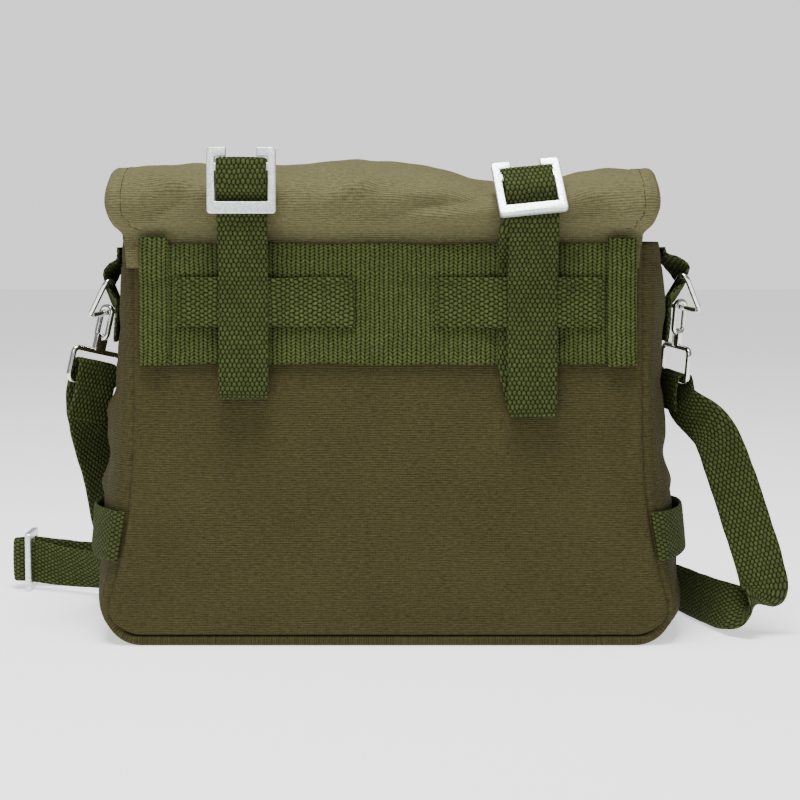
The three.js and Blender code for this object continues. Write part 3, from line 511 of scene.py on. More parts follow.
def panel(name, side):
    """A back or front panel: its face, puckered into its seam, with soft creases below what covers it."""
    u = np.linspace(-1, 1, PANEL_COLUMNS)
    upright = np.sin(PANEL_TURN) ** 2
    wide = PANEL_HALF + RIM_LAP * upright
    x = wide[:, None] * u[None, :]
    z = np.broadcast_to(PANEL_Z[:, None], x.shape)
    seam = np.minimum(wide[:, None] * (1 - np.abs(u))[None, :], z - PANEL_FOOT)
    dip = RIM_DIP * (1 - np.sqrt(np.clip(1 - (1 - np.clip(seam / RIM_ROUND, 0, 1)) ** 2, 0, 1)))
    p = np.stack([x, z], -1)
    clear = 1 - smooth((z - CREASED_TO[side]) / 12)
    pucker = 0.22 * np.exp(-((seam / 9) ** 2)) * waves(p, 7, 3)
    relief = creases(x, z, BACK_CREASES) + 0.5 * waves(p, 70, 5 + side) + 0.16 * waves(p, 24, 8 + side)
    relief = (relief + pucker) * (clear * smooth(seam / 6) + (1 - clear) * 0.05)
    y = side * (panel_face(x, z) - dip + relief)
    outer = np.stack([x, y, z], -1)
    thick = CLOTH - 1.0 * (1 - smooth(seam / 3))
    inner = np.stack([x * 0.998, side * (np.abs(y) - thick), z], -1)
    return double_sheet(name, outer, inner, np.stack([x, z], -1))


GUSSET_CREASES = [
    # along the strip from the middle of the base, then across it, direction, half length, half width, height
    (182, 6, 60, 24, 6, -2.2),
    (204, -14, 70, 30, 5, 1.6),
    (226, 10, 86, 34, 7, -1.8),
    (250, -16, 100, 26, 5, 1.4),
    (262, 12, 80, 30, 5, -1.2),
    (168, -20, 40, 16, 4, 1.0),
    (292, -8, 90, 22, 5, -1.0),
    (150, 14, 110, 20, 5, 1.0),
]


# The gusset's section from a seam inward: a round welt, the groove where the seam is stitched, and the
# swelling cloth. Distances out from the panel's edge and in from the seam, what the groove's distances in
# gain where the strip runs upright, where the swelling cloth starts, and the depth of the mouth's hem.
WELT = np.radians(np.linspace(180, -20, 12))
WELT_OUT = 2.8 + 2.5 * np.cos(WELT)
GROOVE_OUT = np.array([4.6, 4.2, 4.6])
GROOVE_IN = np.array([4.4, 5.2, 6.2])
GROOVE_IN_UPRIGHT = np.array([1.7, 1.3, 0.7])
SWELL_FROM = 7.2
MOUTH_HEM = 11


def gusset(name):
    """The gusset: a strip down, under and up, from welt to welt, swelling between its seams.

    Its section is a round welt at each seam, a stitched groove and the swelling cloth between them."""
    z = np.concatenate([PANEL_Z[::-1], PANEL_Z])
    turn = np.concatenate([PANEL_TURN[::-1], PANEL_TURN])
    side = np.concatenate([-np.ones(len(PANEL_Z)), np.ones(len(PANEL_Z))])
    half = np.concatenate([PANEL_HALF[::-1], PANEL_HALF])
    base = np.linspace(-1, 1, BASE_ROWS)[1:-1] * PANEL_HALF[0]
    k = len(PANEL_Z)
    z = np.concatenate([z[:k], np.full(len(base), PANEL_FOOT), z[k:]])
    turn = np.concatenate([turn[:k], np.zeros(len(base)), turn[k:]])
    x = np.concatenate([side[:k] * half[:k], base, side[k:] * half[k:]])
    side = np.concatenate([side[:k], np.sign(base), side[k:]])
    nx, nz = side * np.sin(turn), -np.cos(turn)
    swell = SIDE_BULGE * np.where(x < 0, section("left", z), section("right", z)) * np.sin(turn) ** 2
    strip = np.concatenate([[0], np.cumsum(np.hypot(np.diff(x), np.diff(z)))])
    strip -= strip[-1] / 2
    hd = half_depth(z)

    flat = (np.cos(turn) ** 2)[:, None]
    welt_in = RIM_SUNK * (1 - flat) + (1.9 - 0.9 * (1 - flat)) * (1 - np.sin(WELT))
    out = np.concatenate([WELT_OUT, GROOVE_OUT])[None, :]
    inward = np.concatenate([welt_in, GROOVE_IN + GROOVE_IN_UPRIGHT * (1 - flat)], axis=1)
    w = np.linspace(-1, 1, GUSSET_COLUMNS)
    main_y = w[None, :] * (hd[:, None] - SWELL_FROM)
    share = main_y / hd[:, None]
    main_out = GAP + SEAM_RIDGE - 0.4 + swell[:, None] * (1 - share**2)
    along = np.broadcast_to(strip[:, None], main_y.shape)
    p = np.stack([along, main_y], -1)
    fade = smooth((1 - np.abs(w)) / 0.25)[None, :] * np.sin(turn)[:, None] ** 2
    left = np.where(x < 0, 1, -1)[:, None]
    relief = 1.3 * creases(np.abs(along), main_y * left, GUSSET_CREASES)
    relief = relief + 0.7 * waves(p, 40, 21) + 0.2 * waves(p, 17, 22)
    up = z[:, None]
    tab = 1 - np.exp(-((main_y / 20) ** 4)) * smooth((up - (TAB_TAIL - 15)) / 10)
    band_foot, band_head = SIDE_BAND_TOP - WEB_WIDTH - 10, SIDE_BAND_TOP + 3
    band = 1 - smooth((up - band_foot) / 7) * (1 - smooth((up - band_head) / 7))
    relief = np.where(relief > 0, relief * tab * band, relief)
    below_hem = BAG_HEIGHT - up - MOUTH_HEM
    hem = 0.5 * (1 - smooth(below_hem / 1.2))
    main_out = main_out + relief * fade - hem * np.exp(-((below_hem / 1.6) ** 2))
    near_y = -(hd[:, None] - inward)
    rise = swell[:, None] * (1 - ((hd[:, None] - inward) / hd[:, None]) ** 2) * smooth((inward - 3.5) / 3)
    near_out = out + rise
    offset = np.concatenate([near_out, main_out, near_out[:, ::-1]], axis=1)
    y = np.concatenate([near_y, main_y, -near_y[:, ::-1]], axis=1)
    offset = offset * (1 - flat) + np.minimum(offset, PANEL_FOOT) * flat
    outer = np.stack([x[:, None] + nx[:, None] * offset, y, z[:, None] + nz[:, None] * offset], -1)
    deep = np.maximum(offset - CLOTH, GAP)
    y_in = np.sign(y) * np.minimum(np.abs(y), hd[:, None] - 2.4)
    inner = np.stack([x[:, None] + nx[:, None] * deep, y_in, z[:, None] + nz[:, None] * deep], -1)
    uv = np.stack([y, np.broadcast_to(strip[:, None], y.shape)], -1)
    return double_sheet(name, outer, inner, uv)


# The flap's profile. Back and front rows: height, swell, width, roll. Crown rows: depth, rise, width, roll.
FLAP_BACK = [
    (-FLAP_LAP / FLAP_RISE, 0, 0.975, 0), (-0.12, 0, 0.98, 0), (0.1, 0, 0.99, 0.1), (0.24, 0.6, 1.005, 0.75),
    (0.45, 0.95, 1.015, 1), (0.68, 0.85, 1.015, 1),
]
FLAP_CROWN = [
    (-1.0, 0.9, 1.01, 1), (-0.68, 0.99, 1.01, 1), (-0.2, 1.0, 1.01, 1), (0.3, 0.985, 1.01, 1),
    (0.75, 0.91, 1.01, 1), (1.05, 0.74, 1.01, 1),
]
FLAP_FRONT = [(0.98, 0.35, 1.01, 0.85), (0.84, 0.1, 1.01, 0.6), (0.66, 0, 1.01, 0.5), (0.5, 0, 1.01, 0.45)]


def flap_profile(u):
    """Rows of y, z, width share and roll, from the lap under the band, over the crown to the hem."""

    def face(width, z):
        return float(panel_face(u * width * FLAP_HALF_WIDTH + FLAP_SHIFT, z))

    rows = []
    for height, swell, width, roll in FLAP_BACK:
        z = BAG_HEIGHT + height * FLAP_RISE
        rows.append((-(face(width, min(z, BAG_HEIGHT)) + GAP + CLOTH + swell * HOOD_BULGE), z, width, roll))
    for depth, rise, width, roll in FLAP_CROWN:
        rows.append((depth * float(half_depth(BAG_HEIGHT)), BAG_HEIGHT + rise * FLAP_RISE, width, roll))
    for height, swell, width, roll in FLAP_FRONT:
        z = height * BAG_HEIGHT
        rows.append((face(width, z) + FLAP_CLEARANCE + CLOTH + swell * HOOD_BULGE, z, width, roll))
    drop_z, drop_width, drop_roll = rows[-1][1:]
    drop_half = FLAP_HALF_WIDTH * drop_width
    z, half, _ = corner_rows(FLAP_HEM, drop_z, FLAP_HEM_RADIUS, lambda h: drop_half + 0 * h, 5, 2)
    for hem_z, hem_half in list(zip(z, half))[::-1][1:]:
        width = hem_half / FLAP_HALF_WIDTH
        rows.append((face(width, hem_z) + FLAP_CLEARANCE + CLOTH, hem_z, width, drop_roll))
    return np.array(rows)


# Folds of the flap, by distance across from its middle and along from the lap: the same columns as above.
FLAP_CREASES = [
    (-22, 40, 24, 30, 5.0, 1.5),
    (18, 34, 14, 38, 4.5, -1.3),
    (30, 26, -18, 30, 5.0, 1.2),
    (-40, 30, 40, 22, 4.5, -1.2),
    (-100, 44, -20, 26, 6.0, 1.3),
    (-112, 32, 30, 18, 4.5, -1.2),
    (108, 40, -35, 22, 5.0, 1.3),
    (96, 30, 20, 22, 4.5, -1.1),
    (0, 90, 3, 90, 9.0, 1.4),
    (-60, 120, -14, 50, 9.0, -1.2),
    (64, 130, 12, 50, 10.0, 1.2),
    (-30, 190, 70, 50, 12.0, 0.9),
    (50, 200, 100, 50, 12.0, 0.9),
    (-96, 170, 80, 44, 8.0, -0.9),
    (100, 160, 96, 50, 8.0, -0.8),
]


# Where the flap comes free of the webbing, along it from the lap, and its hem's width and seam.
FLAP_FREE = 22
HEM_WIDTH = 10.5
HEM_SEAM = 9.6


def flap(name):
    """The flap: the profile carried across the bag, its sides turned down, then folds and a turned hem."""
    across = np.array([0, 0.2, 0.4, 0.55, 0.7, 0.85, 1.0])
    turns = np.array([0.35, 0.7, 1.0])
    lateral = [(-1, t) for t in turns[::-1]] + [(-u, 0) for u in across[::-1]]
    lateral += [(u, 0) for u in across[1:]] + [(1, t) for t in turns]
    lines = []
    for u, t in lateral:
        rows = flap_profile(u)
        way = np.empty((len(rows), 2))
        way[1:-1] = rows[2:, :2] - rows[:-2, :2]
        way[0], way[-1] = rows[1, :2] - rows[0, :2], rows[-1, :2] - rows[-2, :2]
        way = unit(way)
        lift = smooth((rows[:, 1] - BAG_HEIGHT) / FLAP_RISE)
        turn = t * rows[:, 3] * 1.5
        roll = FLAP_ROLL * rows[:, 3]
        x = abs(u) * rows[:, 2] * FLAP_HALF_WIDTH + (roll + 0.02) * np.sin(turn) + t * 0.5
        x = np.sign(u) * x + FLAP_SHIFT
        fall = roll * (1 - np.cos(turn))
        beside = (x - BELT_LOOP_X + CROWN_DIP_BESIDE) / (BELT_LOOP_X * 0.47)
        dip = CROWN_DIP * np.exp(-(beside**2)) * lift
        lines.append(np.stack([x, rows[:, 0] + way[:, 1] * fall, rows[:, 1] - way[:, 0] * fall - dip], -1))
    coarse = np.stack(lines, axis=1)
    rows, columns = coarse.shape[:2]
    down = np.linspace(0, 1, (rows - 1) * 8 + 1)
    over = np.linspace(0, 1, (columns - 1) * 8 + 1)
    tall = np.stack([curve(coarse[:, j], down) for j in range(columns)], axis=1)
    outer = np.stack([curve(tall[i], over) for i in range(len(tall))], axis=0)
    uv = arc_lengths(outer)
    n = normals(outer)
    n = n * np.where(n[:, :, 2:].mean() > 0, 1, -1)
    s, t = uv[..., 0], uv[..., 1]
    rim = np.minimum(np.minimum(s - s[:, :1], s[:, -1:] - s), t[-1:, :] - t)
    free = smooth((t - FLAP_FREE) / 12) * smooth(rim / 10)
    beside = (np.abs(outer[..., 0]) - BELT_LOOP_X) / 21
    buckles = 1 - 0.85 * np.exp(-(beside**4)) * (1 - smooth((t - 66) / 12))
    p = np.stack([s, t], -1)
    relief = 2.8 * creases(s, t, FLAP_CREASES) + 0.8 * waves(p, 60, 31) + 0.35 * waves(p, 22, 32)
    relief = relief * free * buckles
    relief = relief * np.where(outer[..., 1] > 20, 0.45, 1)
    hem = 0.4 * (1 - smooth(rim - HEM_WIDTH)) - 0.35 * np.exp(-(((rim - 9.4) / 0.9) ** 2))
    pucker = 0.16 * np.exp(-(((rim - 9) / 7) ** 2)) * waves(p, 6, 33)
    outer = outer + n * (relief + (hem + pucker) * smooth((t - 16) / 6))[..., None]
    return double_sheet(name, outer, outer - n * CLOTH, uv), outer, n, uv


# Layers of webbing on the back, as distances of each layer's middle from the panel.
LAYER = WEB + 2 * GAP
BAND_LAYER = 2 * GAP + WEB / 2
REAR_LAYER = BAND_LAYER + LAYER
KEEPER_LAYER = REAR_LAYER + LAYER
FRONT_LAYER = KEEPER_LAYER + LAYER + GAP
LAP_START = BAG_HEIGHT - FLAP_LAP
BAND_BOTTOM = BAND_TOP - BAND_HEIGHT
BAND_HALF = HALF_PANEL - 1


def lap_step(z):
    """The flap's lap under the band lifts the webbing by one layer of cloth."""
    return (CLOTH + GAP) * smooth((z - LAP_START + 9) / 8.5)


def sewn_web(name, left, right, bottom, top, offset, style, upright=False, seed=1, step=0.5):
    """A flat web sewn on the back. Its columns run level, or up and down when it is upright."""
    x = np.linspace(left, right, int((right - left) / step) + 1)
    z = np.linspace(bottom, top, int((top - bottom) / step) + 1)
    zz, xx = np.meshgrid(z, x, indexing="ij")
    p = np.stack([xx, zz], -1)
    edge = 0.35 * waves(p, 40, seed + 2)
    y = -(panel_face(xx, zz) + lap_step(zz) + offset(xx))
    grid = np.stack([xx + edge * 0.4, y, zz + edge], -1)
    if upright:
        return webbing(name, grid, xx - left, zz - bottom, style, seed=seed)
    turned = grid.transpose(1, 0, 2)
    return webbing(name, turned, (zz - bottom).T, (xx - left).T, style, seed=seed)


# The belt loops. Keeper: how far in from the band's folded end, and its share of the full length. Strap:
# its tail below the band, and how far its rear layer lies to the side. Buckle: how much further out it
# stands, and the degrees it leans and turns.
BELT_LOOPS = {
    "left": {
        "side": -1, "inset": 3.3, "share": 1, "tail": 17, "shift": 0,
        "forward": 0, "lean": 2, "roll": 0,
    },
    "right": {
        "side": 1, "inset": 1.7, "share": 0.956, "tail": 26, "shift": -4.4,
        "forward": 3, "lean": 36, "roll": 7,
    },
}
SLIDE_FOOT_Z = BAND_TOP + 15
SLIDE_PLANE = SLIDE_THICKNESS / 2 + 2 * GAP + WEB / 2
HOOD_FACE = float(panel_face(0, BAG_HEIGHT)) + GAP + CLOTH + HOOD_BULGE
SLIDE_OUT = HOOD_FACE + GAP + WEB / 2 + LAYER + SLIDE_PLANE + 0.4
MID_BAR_TOP = SLIDE_HEIGHT - 4.5 - WEB - 4 * GAP


def keeper(name, loop, seed):
    """A keeper: flat on the band at its ends, and lifted over the belt loop by an even ease."""
    side = loop["side"]
    outer = side * (BAND_HALF - BAND_END_WIDTH - loop["inset"])
    left, right = sorted((outer, outer - side * KEEPER_LENGTH * loop["share"]))
    middle = side * BELT_LOOP_X + loop["shift"] / 2
    half = WEB_WIDTH / 2 + abs(loop["shift"]) / 2 + 2

    def offset(x):
        """Distance of the keeper's middle layer from the panel, pressed down a little at its sewn ends."""
        ends = np.minimum(x - left, right - x)
        flat = REAR_LAYER - 0.5 * np.exp(-((ends / 3.0) ** 2))
        return flat + LAYER * smooth(1 - (np.abs(x - middle) - half) / 6)

    foot = KEEPER_TOP - WEB_WIDTH
    return sewn_web(name, left, right, foot, KEEPER_TOP, offset, "fuzzy", seed=seed, step=0.6)


def across_back(x, z):
    """The level direction along the back panel at a point."""
    return unit(np.array([2.0, float(panel_face(x - 1, z) - panel_face(x + 1, z)), 0.0]))


def in_slide(loop, out, up, across=0.0):
    """Where a distance out and up from a buckle's lower edge goes when the buckle leans and turns."""
    a, r = math.radians(loop["lean"]), math.radians(loop["roll"])
    x, z = across * math.cos(r) - up * math.sin(r), across * math.sin(r) + up * math.cos(r)
    return np.array([
        loop["side"] * BELT_LOOP_X + x,
        -(SLIDE_OUT + loop["forward"] + out * math.cos(a)) + z * math.sin(a),
        SLIDE_FOOT_Z + z * math.cos(a) + out * math.sin(a),
    ])


def belt_strap_keys(loop):
    """A belt loop's route: up the back, round the buckle's middle bar, down behind itself, closed below."""
    x = loop["side"] * BELT_LOOP_X
    level = across_back(x, BAND_TOP)
    tipped = in_slide(loop, 0, 0, 1) - in_slide(loop, 0, 0)
    foot = BAND_BOTTOM - loop["tail"]
    stand = SLIDE_OUT + loop["forward"]
    bar = MID_BAR_TOP - SLIDE_BAR / 2

    def on_back(offset, z, shift=0.0):
        return np.array([x + shift, -float(panel_face(x, z) + lap_step(z) + offset), z])

    def down(offset, start, end, shift):
        rows = []
        for i in range(13):
            z = start + (end - start) * i / 12
            rows.append((on_back(offset, z, shift * float(smooth((z - foot - 3) / WEB_WIDTH))), level))
        return rows

    over = [(1, 1), (1, 3.0), (0.5, 3.6), (0, 3.75), (-0.5, 3.6), (-1, 3.0), (-1, 1)]
    keys = down(FRONT_LAYER, foot + 3, KEEPER_TOP + 3, 0)
    keys += [
        (np.array([x, -(stand - SLIDE_PLANE) + 0.2, SLIDE_FOOT_Z - 6]), level),
        (in_slide(loop, -SLIDE_PLANE - 0.2, 0), tipped),
        (in_slide(loop, -SLIDE_PLANE - 0.2, SLIDE_FOOT + 1.2), tipped),
        (in_slide(loop, SLIDE_PLANE, SLIDE_FOOT + 8.5), tipped),
    ]
    keys += [(in_slide(loop, SLIDE_PLANE * out, bar + up), tipped) for out, up in over]
    keys += [
        (in_slide(loop, -SLIDE_PLANE - 1, bar - 6), tipped),
        (in_slide(loop, -SLIDE_PLANE - LAYER - 0.2, SLIDE_FOOT + 1), tipped),
        (in_slide(loop, -SLIDE_PLANE - LAYER - 0.2, 0) + np.array([loop["shift"] / 2, 0, 0]), level),
        (np.array([x + loop["shift"], -(stand - SLIDE_PLANE - LAYER - 0.2), SLIDE_FOOT_Z - 8]), level),
    ]
    keys += down(REAR_LAYER, BAND_TOP - 7, foot + 3, loop["shift"])
    keys += [(on_back((REAR_LAYER + FRONT_LAYER) / 2, foot + WEB / 2), level)]
    return [np.concatenate(k) for k in keys]


# The gusset's tabs, rings and hooks. A seat is where a ring's wire lies: its height, how far out the wire
# and the tab's loop are, and the slope by which the ring's end near the camera stands further out.
SEATS = {
    "left": {"side": -1, "height": 178, "out": 1.6, "reach": 5.8, "splay": 0.06},
    "right": {"side": 1, "height": 181, "out": 3.2, "reach": 8.2, "splay": 0.16},
}
RING_TILT = math.pi / 6
RING_BASE = WEB_WIDTH + 13
RING_DROP = 18.5
SEAT_GAP = 2.5 * GAP + WEB / 2


def ring_tab(name, seat, seed):
    """A tab with its loop round the ring: a profile out from the gusset, carried across a tilted width."""
    height, out, reach = seat["height"], seat["out"], seat["reach"]
    snug = (WIRE_RADIUS + 2 * GAP + WEB / 2) / math.cos(RING_TILT)
    keys = [
        (0, TAB_TOP - height, 0), (0, WEB_WIDTH * 0.66, 0.2), (reach * 0.55, WEB_WIDTH * 0.46, 0.7),
        (reach, WEB_WIDTH * 0.24, 1), (out + snug, WEB_WIDTH * 0.04, 1),
        (out + snug * 0.88, -snug * 0.55, 1), (out + snug * 0.25, -snug * 1.14, 1),
        (0.2, -WEB_WIDTH * 0.27, 0.6), (0, -WEB_WIDTH * 0.42, 0.1),
        (0, TAB_TAIL - height, 0),
    ]
    line, at = even(curve(keys, np.linspace(0, 1, 240)), 0.6)
    s = np.linspace(-WEB_WIDTH / 2, WEB_WIDTH / 2, 42)
    slant = line[:, 2:3]
    tilt = RING_TILT * slant
    half = s[None, :] * (1 - 0.12 * slant)
    y = half * np.cos(tilt)
    z = height + line[:, 1:2] - half * np.sin(tilt)
    face = gusset_face(seat["side"], y, z) * (1 - slant) + gusset_face(seat["side"], 0, height) * slant
    x = seat["side"] * (face + SEAT_GAP + line[:, 0:1] - y * seat["splay"] * slant)
    grid = np.stack([x, y, z], -1)
    tt = np.broadcast_to(at[:, None], y.shape)
    return webbing(name, grid, np.broadcast_to(s + WEB_WIDTH / 2, y.shape), tt, "cord", seed=seed)


def ring_corners(seat):
    """A ring's three corners: the ends of its base in the tab's loop, and the corner that hangs."""
    side, height = seat["side"], seat["height"]
    middle = np.array([side * (float(gusset_face(side, 0, height)) + SEAT_GAP + seat["out"]), 0, height])
    along = unit(np.array([-side * seat["splay"], math.cos(RING_TILT), -math.sin(RING_TILT)]))
    hangs = np.array([side * 0.66, -0.1, -0.72])
    hangs = unit(hangs - along * (hangs @ along))
    return [middle - along * RING_BASE / 2, middle + along * RING_BASE / 2, middle + hangs * RING_DROP]


# The hooks: how far down the ring's far wire they hang, as a share of it, and the ways along hook and bar.
HOOKS = {
    "left": {
        "seat": SEATS["left"], "hung": 0.5, "along": (-0.21, -0.1, -0.97), "bar": (-0.72, -0.7, 0.05),
    },
    "right": {
        "seat": SEATS["right"], "hung": 0.48, "along": (-0.07, 0.04, -0.99), "bar": (0.3, -0.95, 0.05),
    },
}


def hook_frame(hook):
    """A hook's way down, the way along its bar, its top, its bar, and the way of the wire it hangs on."""
    _, far, low = ring_corners(hook["seat"])
    hangs = far + (low - far) * hook["hung"]
    down = unit(np.array(hook["along"], float))
    bar = np.array(hook["bar"], float)
    across = unit(bar - down * (bar @ down))
    top = hangs - down * (WIRE_RADIUS + GAP + EYE_WIRE_RADIUS)
    return down, across, top, hangs + down * HOOK_LENGTH, unit(far - low)


def plate(name, ends, across, face, half, thick):
    """A flat bar between two points: an eight-sided section carried along it, so its long edges are soft."""
    c = 0.35
    rows, sides = 9, 8
    section_points = [
        (half, thick - c), (half - c, thick), (-half + c, thick), (-half, thick - c),
        (-half, -thick + c), (-half + c, -thick), (half - c, -thick), (half, -thick + c),
    ]
    t = np.linspace(0, 1, rows)[:, None]
    line = ends[0] * (1 - t) + ends[1] * t
    size = np.array([0.9] + [1] * (rows - 2) + [0.9])[:, None, None]
    ring = np.array([across * a + face * b for a, b in section_points])
    points = np.concatenate([(line[:, None] + ring[None] * size).reshape(-1, 3), ends])
    quads = grid_quads(rows, sides, wrap_columns=True)
    j = np.arange(0, sides, 2)
    middle, end = rows * sides, (rows - 1) * sides
    first = np.stack([j * 0 + middle, j, (j + 1) % sides, (j + 2) % sides], -1)
    last = np.stack([j * 0 + middle + 1, end + (j + 2) % sides, end + (j + 1) % sides, end + j], -1)
    return add_mesh(name, points, np.concatenate([quads, first[:, ::-1], last[:, ::-1]]), points[:, :2] * 0)


def snap_hook(name, hook):
    """A snap hook: a closed wire loop, a flat shank and an eye as wide as the web."""
    down, across, top, bar, legs = hook_frame(hook)
    loop_across = unit(np.cross(legs, down))
    half = WIRE_RADIUS + 2 * GAP + EYE_WIRE_RADIUS

    def corners(origin, deep, wide, way):
        """A frame's corners: two beside its origin and two this deep below it."""
        sides = ((0, -wide), (0, wide), (deep, wide), (deep, -wide))
        return [origin + down * d + way * a for d, a in sides]

    loop = wire("loop", corners(top, HOOK_LOOP, half, loop_across), half - 0.4, EYE_WIRE_RADIUS)
    inner = WEB_WIDTH / 2 + 2 * WEB_CLEARANCE + EYE_WIRE_RADIUS + 0.2
    eye = wire("eye", corners(bar, -EYE_DEPTH, inner, across), 3.0, EYE_WIRE_RADIUS)
    ends = np.array([top + down * (HOOK_LOOP - 2.5), bar - down * EYE_DEPTH])
    shank = plate("shank", ends, across, np.cross(down, across), 3.6, 1.6)
    return join(name, [loop, eye, shank])


# The shoulder strap. Columns: beside, swing, deep, ahead, rise, and the direction of the strap's width.
STRAP_KEYS = [
    (1, 0.15, 0.05, 0, 4.8, 0.5, -0.85, 0.25),
    (1, 0.43, -0.22, 0, 4.25, 0.72, -0.45, 0.5),
    (1, 0.62, -0.33, 0, 3.3, 0.88, -0.25, 0.36),
    (1, 0.77, -0.42, 0, 2.35, 0.95, -0.15, 0.25),
    (1, 0.9, -0.48, 0, 1.5, 0.98, -0.05, 0.18),
    (1, 0.94, -0.52, 0, 0.92, 0.97, 0.1, 0.3),
    (1, 0.78, -0.46, 0, 0.58, 0.62, 0.5, 0.62),
    (1, 0.6, -0.3, 0, 0.56, 0.1, 0.45, 0.9),
    (1, 0.4, 0.25, 0, 0.55, 0.05, 0.3, 0.95),
    (1, 0.16, 0.85, 0.1, 0.54, 0.05, 0.12, 0.99),
    (0.8, 0, 1, 0.45, 0.52, 0, 0, 1),
    (0.35, 0, 1, 0.68, 0.52, 0, 0, 1),
    (-0.2, 0, 1, 0.72, 0.52, 0, 0, 1),
    (-0.75, 0, 1, 0.88, 0.52, 0, 0, 1),
    (-1, -0.62, 1, 1.04, 0.57, 0, 0, 1),
    (-1, -1.27, 1, 1.04, 0.7, 0, 0, 1),
    (-1, -1.43, 1, 1.01, 0.7, 0, 0, 1),
    (-1, -1.47, 1, 0.955, 0.7, 0, 0, 1),
    (-1, -1.43, 1, 0.9, 0.7, 0, 0, 1),
    (-1, -1.27, 1, 0.87, 0.7, 0, 0, 1),
    (-1, -0.75, 1, 0.7, 0.62, 0.05, -0.3, 0.9),
    (-1, -0.25, 1, 0.45, 0.75, -0.2, -0.45, 0.85),
    (-1, -0.12, 1, 0.3, 1.4, -0.6, -0.5, 0.6),
    (-1, -0.16, 1, 0.06, 2.3, -0.7, -0.7, 0.15),
    (-1, -0.2, 0.8, 0, 3.2, -0.7, -0.7, -0.05),
    (-1, -0.26, 0.5, 0, 4.1, -0.7, -0.7, -0.05),
]
BAG_HALF_WIDTH = float(gusset_face(-1, 0, BAG_HEIGHT / 2))


def strap_key(row):
    """The strap's middle and the way of its width, from one row of STRAP_KEYS."""
    beside, swing, deep, ahead, rise = row[:5]
    middle = [
        beside * BAG_HALF_WIDTH + swing * STRAP_SWING,
        deep * BAG_DEPTH / 2 + ahead * STRAP_FORWARD,
        rise * WEB_WIDTH,
    ]
    return np.concatenate([middle, unit(np.array(row[5:], float))])


def over_bar(hook, facing, tail, slack):
    """The strap's end: a tail, its turn over the bar of the eye and the way down on the other side."""
    down, across, _, bar, _ = hook_frame(hook)
    out = unit(np.cross(across, down)) * facing
    radius = EYE_WIRE_RADIUS + 2 * GAP + WEB / 2
    places = [
        (1.0, tail), (1.3, tail * 0.45), (1.15, 0), (0.75, -radius * 0.75 - slack), (0, -radius - slack),
        (-0.75, -radius * 0.75 - slack), (-1.15, 0),
    ]
    return [np.concatenate([bar + out * o * radius + down * d, across]) for o, d in places]


def shoulder_strap_keys():
    """The whole strap from hook to hook, with the way of its width never turned round between keys."""
    keys = over_bar(HOOKS["right"], -1, STRAP_TAIL * 0.8, 0.2) + [strap_key(r) for r in STRAP_KEYS]
    keys += over_bar(HOOKS["left"], 1, STRAP_TAIL, EYE_DEPTH / 2)[::-1]
    for before, key in zip(keys, keys[1:]):
        if before[3:] @ key[3:] < 0:
            key[3:] *= -1
    return keys


# A side band: the share of the gusset's width it spans, how slack it hangs and how deep its ends tuck in.
SIDE_BAND_SPAN = 0.985
SIDE_BAND_SLACK = 2.2
SIDE_BAND_TUCK = 3.2


def side_band(name, side, seed):
    """A slack band across a gusset: it follows the gusset's face and stands off it between its ends."""
    w = np.linspace(-SIDE_BAND_SPAN, SIDE_BAND_SPAN, 150)
    z = np.linspace(SIDE_BAND_TOP - WEB_WIDTH, SIDE_BAND_TOP, 40)
    ww, zz = np.meshgrid(w, z, indexing="ij")
    slack = SIDE_BAND_SLACK * (1 - np.abs(ww / SIDE_BAND_SPAN) ** 3)
    y = ww * half_depth(zz)
    tucked = SIDE_BAND_TUCK * smooth((np.abs(ww) - 0.93) / 0.055)
    x = side * (gusset_face(side, y, zz) + 2 * GAP + WEB / 2 + slack - tucked)
    lift = 0.5 * waves(np.stack([y, zz], -1), 50, seed + 9)
    grid = np.stack([x, y, zz + lift], -1)
    length = np.linalg.norm(np.diff(grid[:, len(z) // 2], axis=0), axis=-1)
    t = np.concatenate([[0], np.cumsum(length)])
    return webbing(name, grid, zz - z[0], np.broadcast_to(t[:, None], y.shape), "cord", seed=seed)


# The closure on the hidden front.
def flap_face(x, z):
    """Distance of the flap's outer face from the middle plane, where it hangs down the front."""
    return float(panel_face(x, z)) + FLAP_CLEARANCE + CLOTH


CLOSURE_HEIGHT = 26.0
CLOSURE_FOOT = 32.0
CLOSURE_BAR = CLOSURE_FOOT + CLOSURE_HEIGHT / 2
CLOSURE_PLANE = flap_face(CLOSURE_X, FLAP_HEM) + WEB - GAP
SEWN_OUT = 2 * GAP + WEB / 2


def closure_keys(side, points):
    """Keys of a closure web from pairs of distance out and height."""
    across = across_back(side * CLOSURE_X, FLAP_HEM)
    across[1] *= -1
    return [np.concatenate([[side * CLOSURE_X, y, z], across]) for y, z in points]


def closure_strap_keys(side):
    """Sewn on the flap, then down and round the slide's middle bar and up behind itself."""
    sewn = [(flap_face(CLOSURE_X, FLAP_HEM + up) + SEWN_OUT, FLAP_HEM + up) for up in (58, 40, 20, 8)]
    places = [(1, 12), (1, 3), (1, -1), (0.92, -2.9), (0, -3.5), (-0.92, -2.9), (-1, -1), (-1, 3)]
    turn = [(CLOSURE_PLANE + SLIDE_PLANE * out, CLOSURE_BAR + up) for out, up in places]
    return closure_keys(side, sewn + turn + [(CLOSURE_PLANE - SLIDE_PLANE, CLOSURE_BAR + 15)])


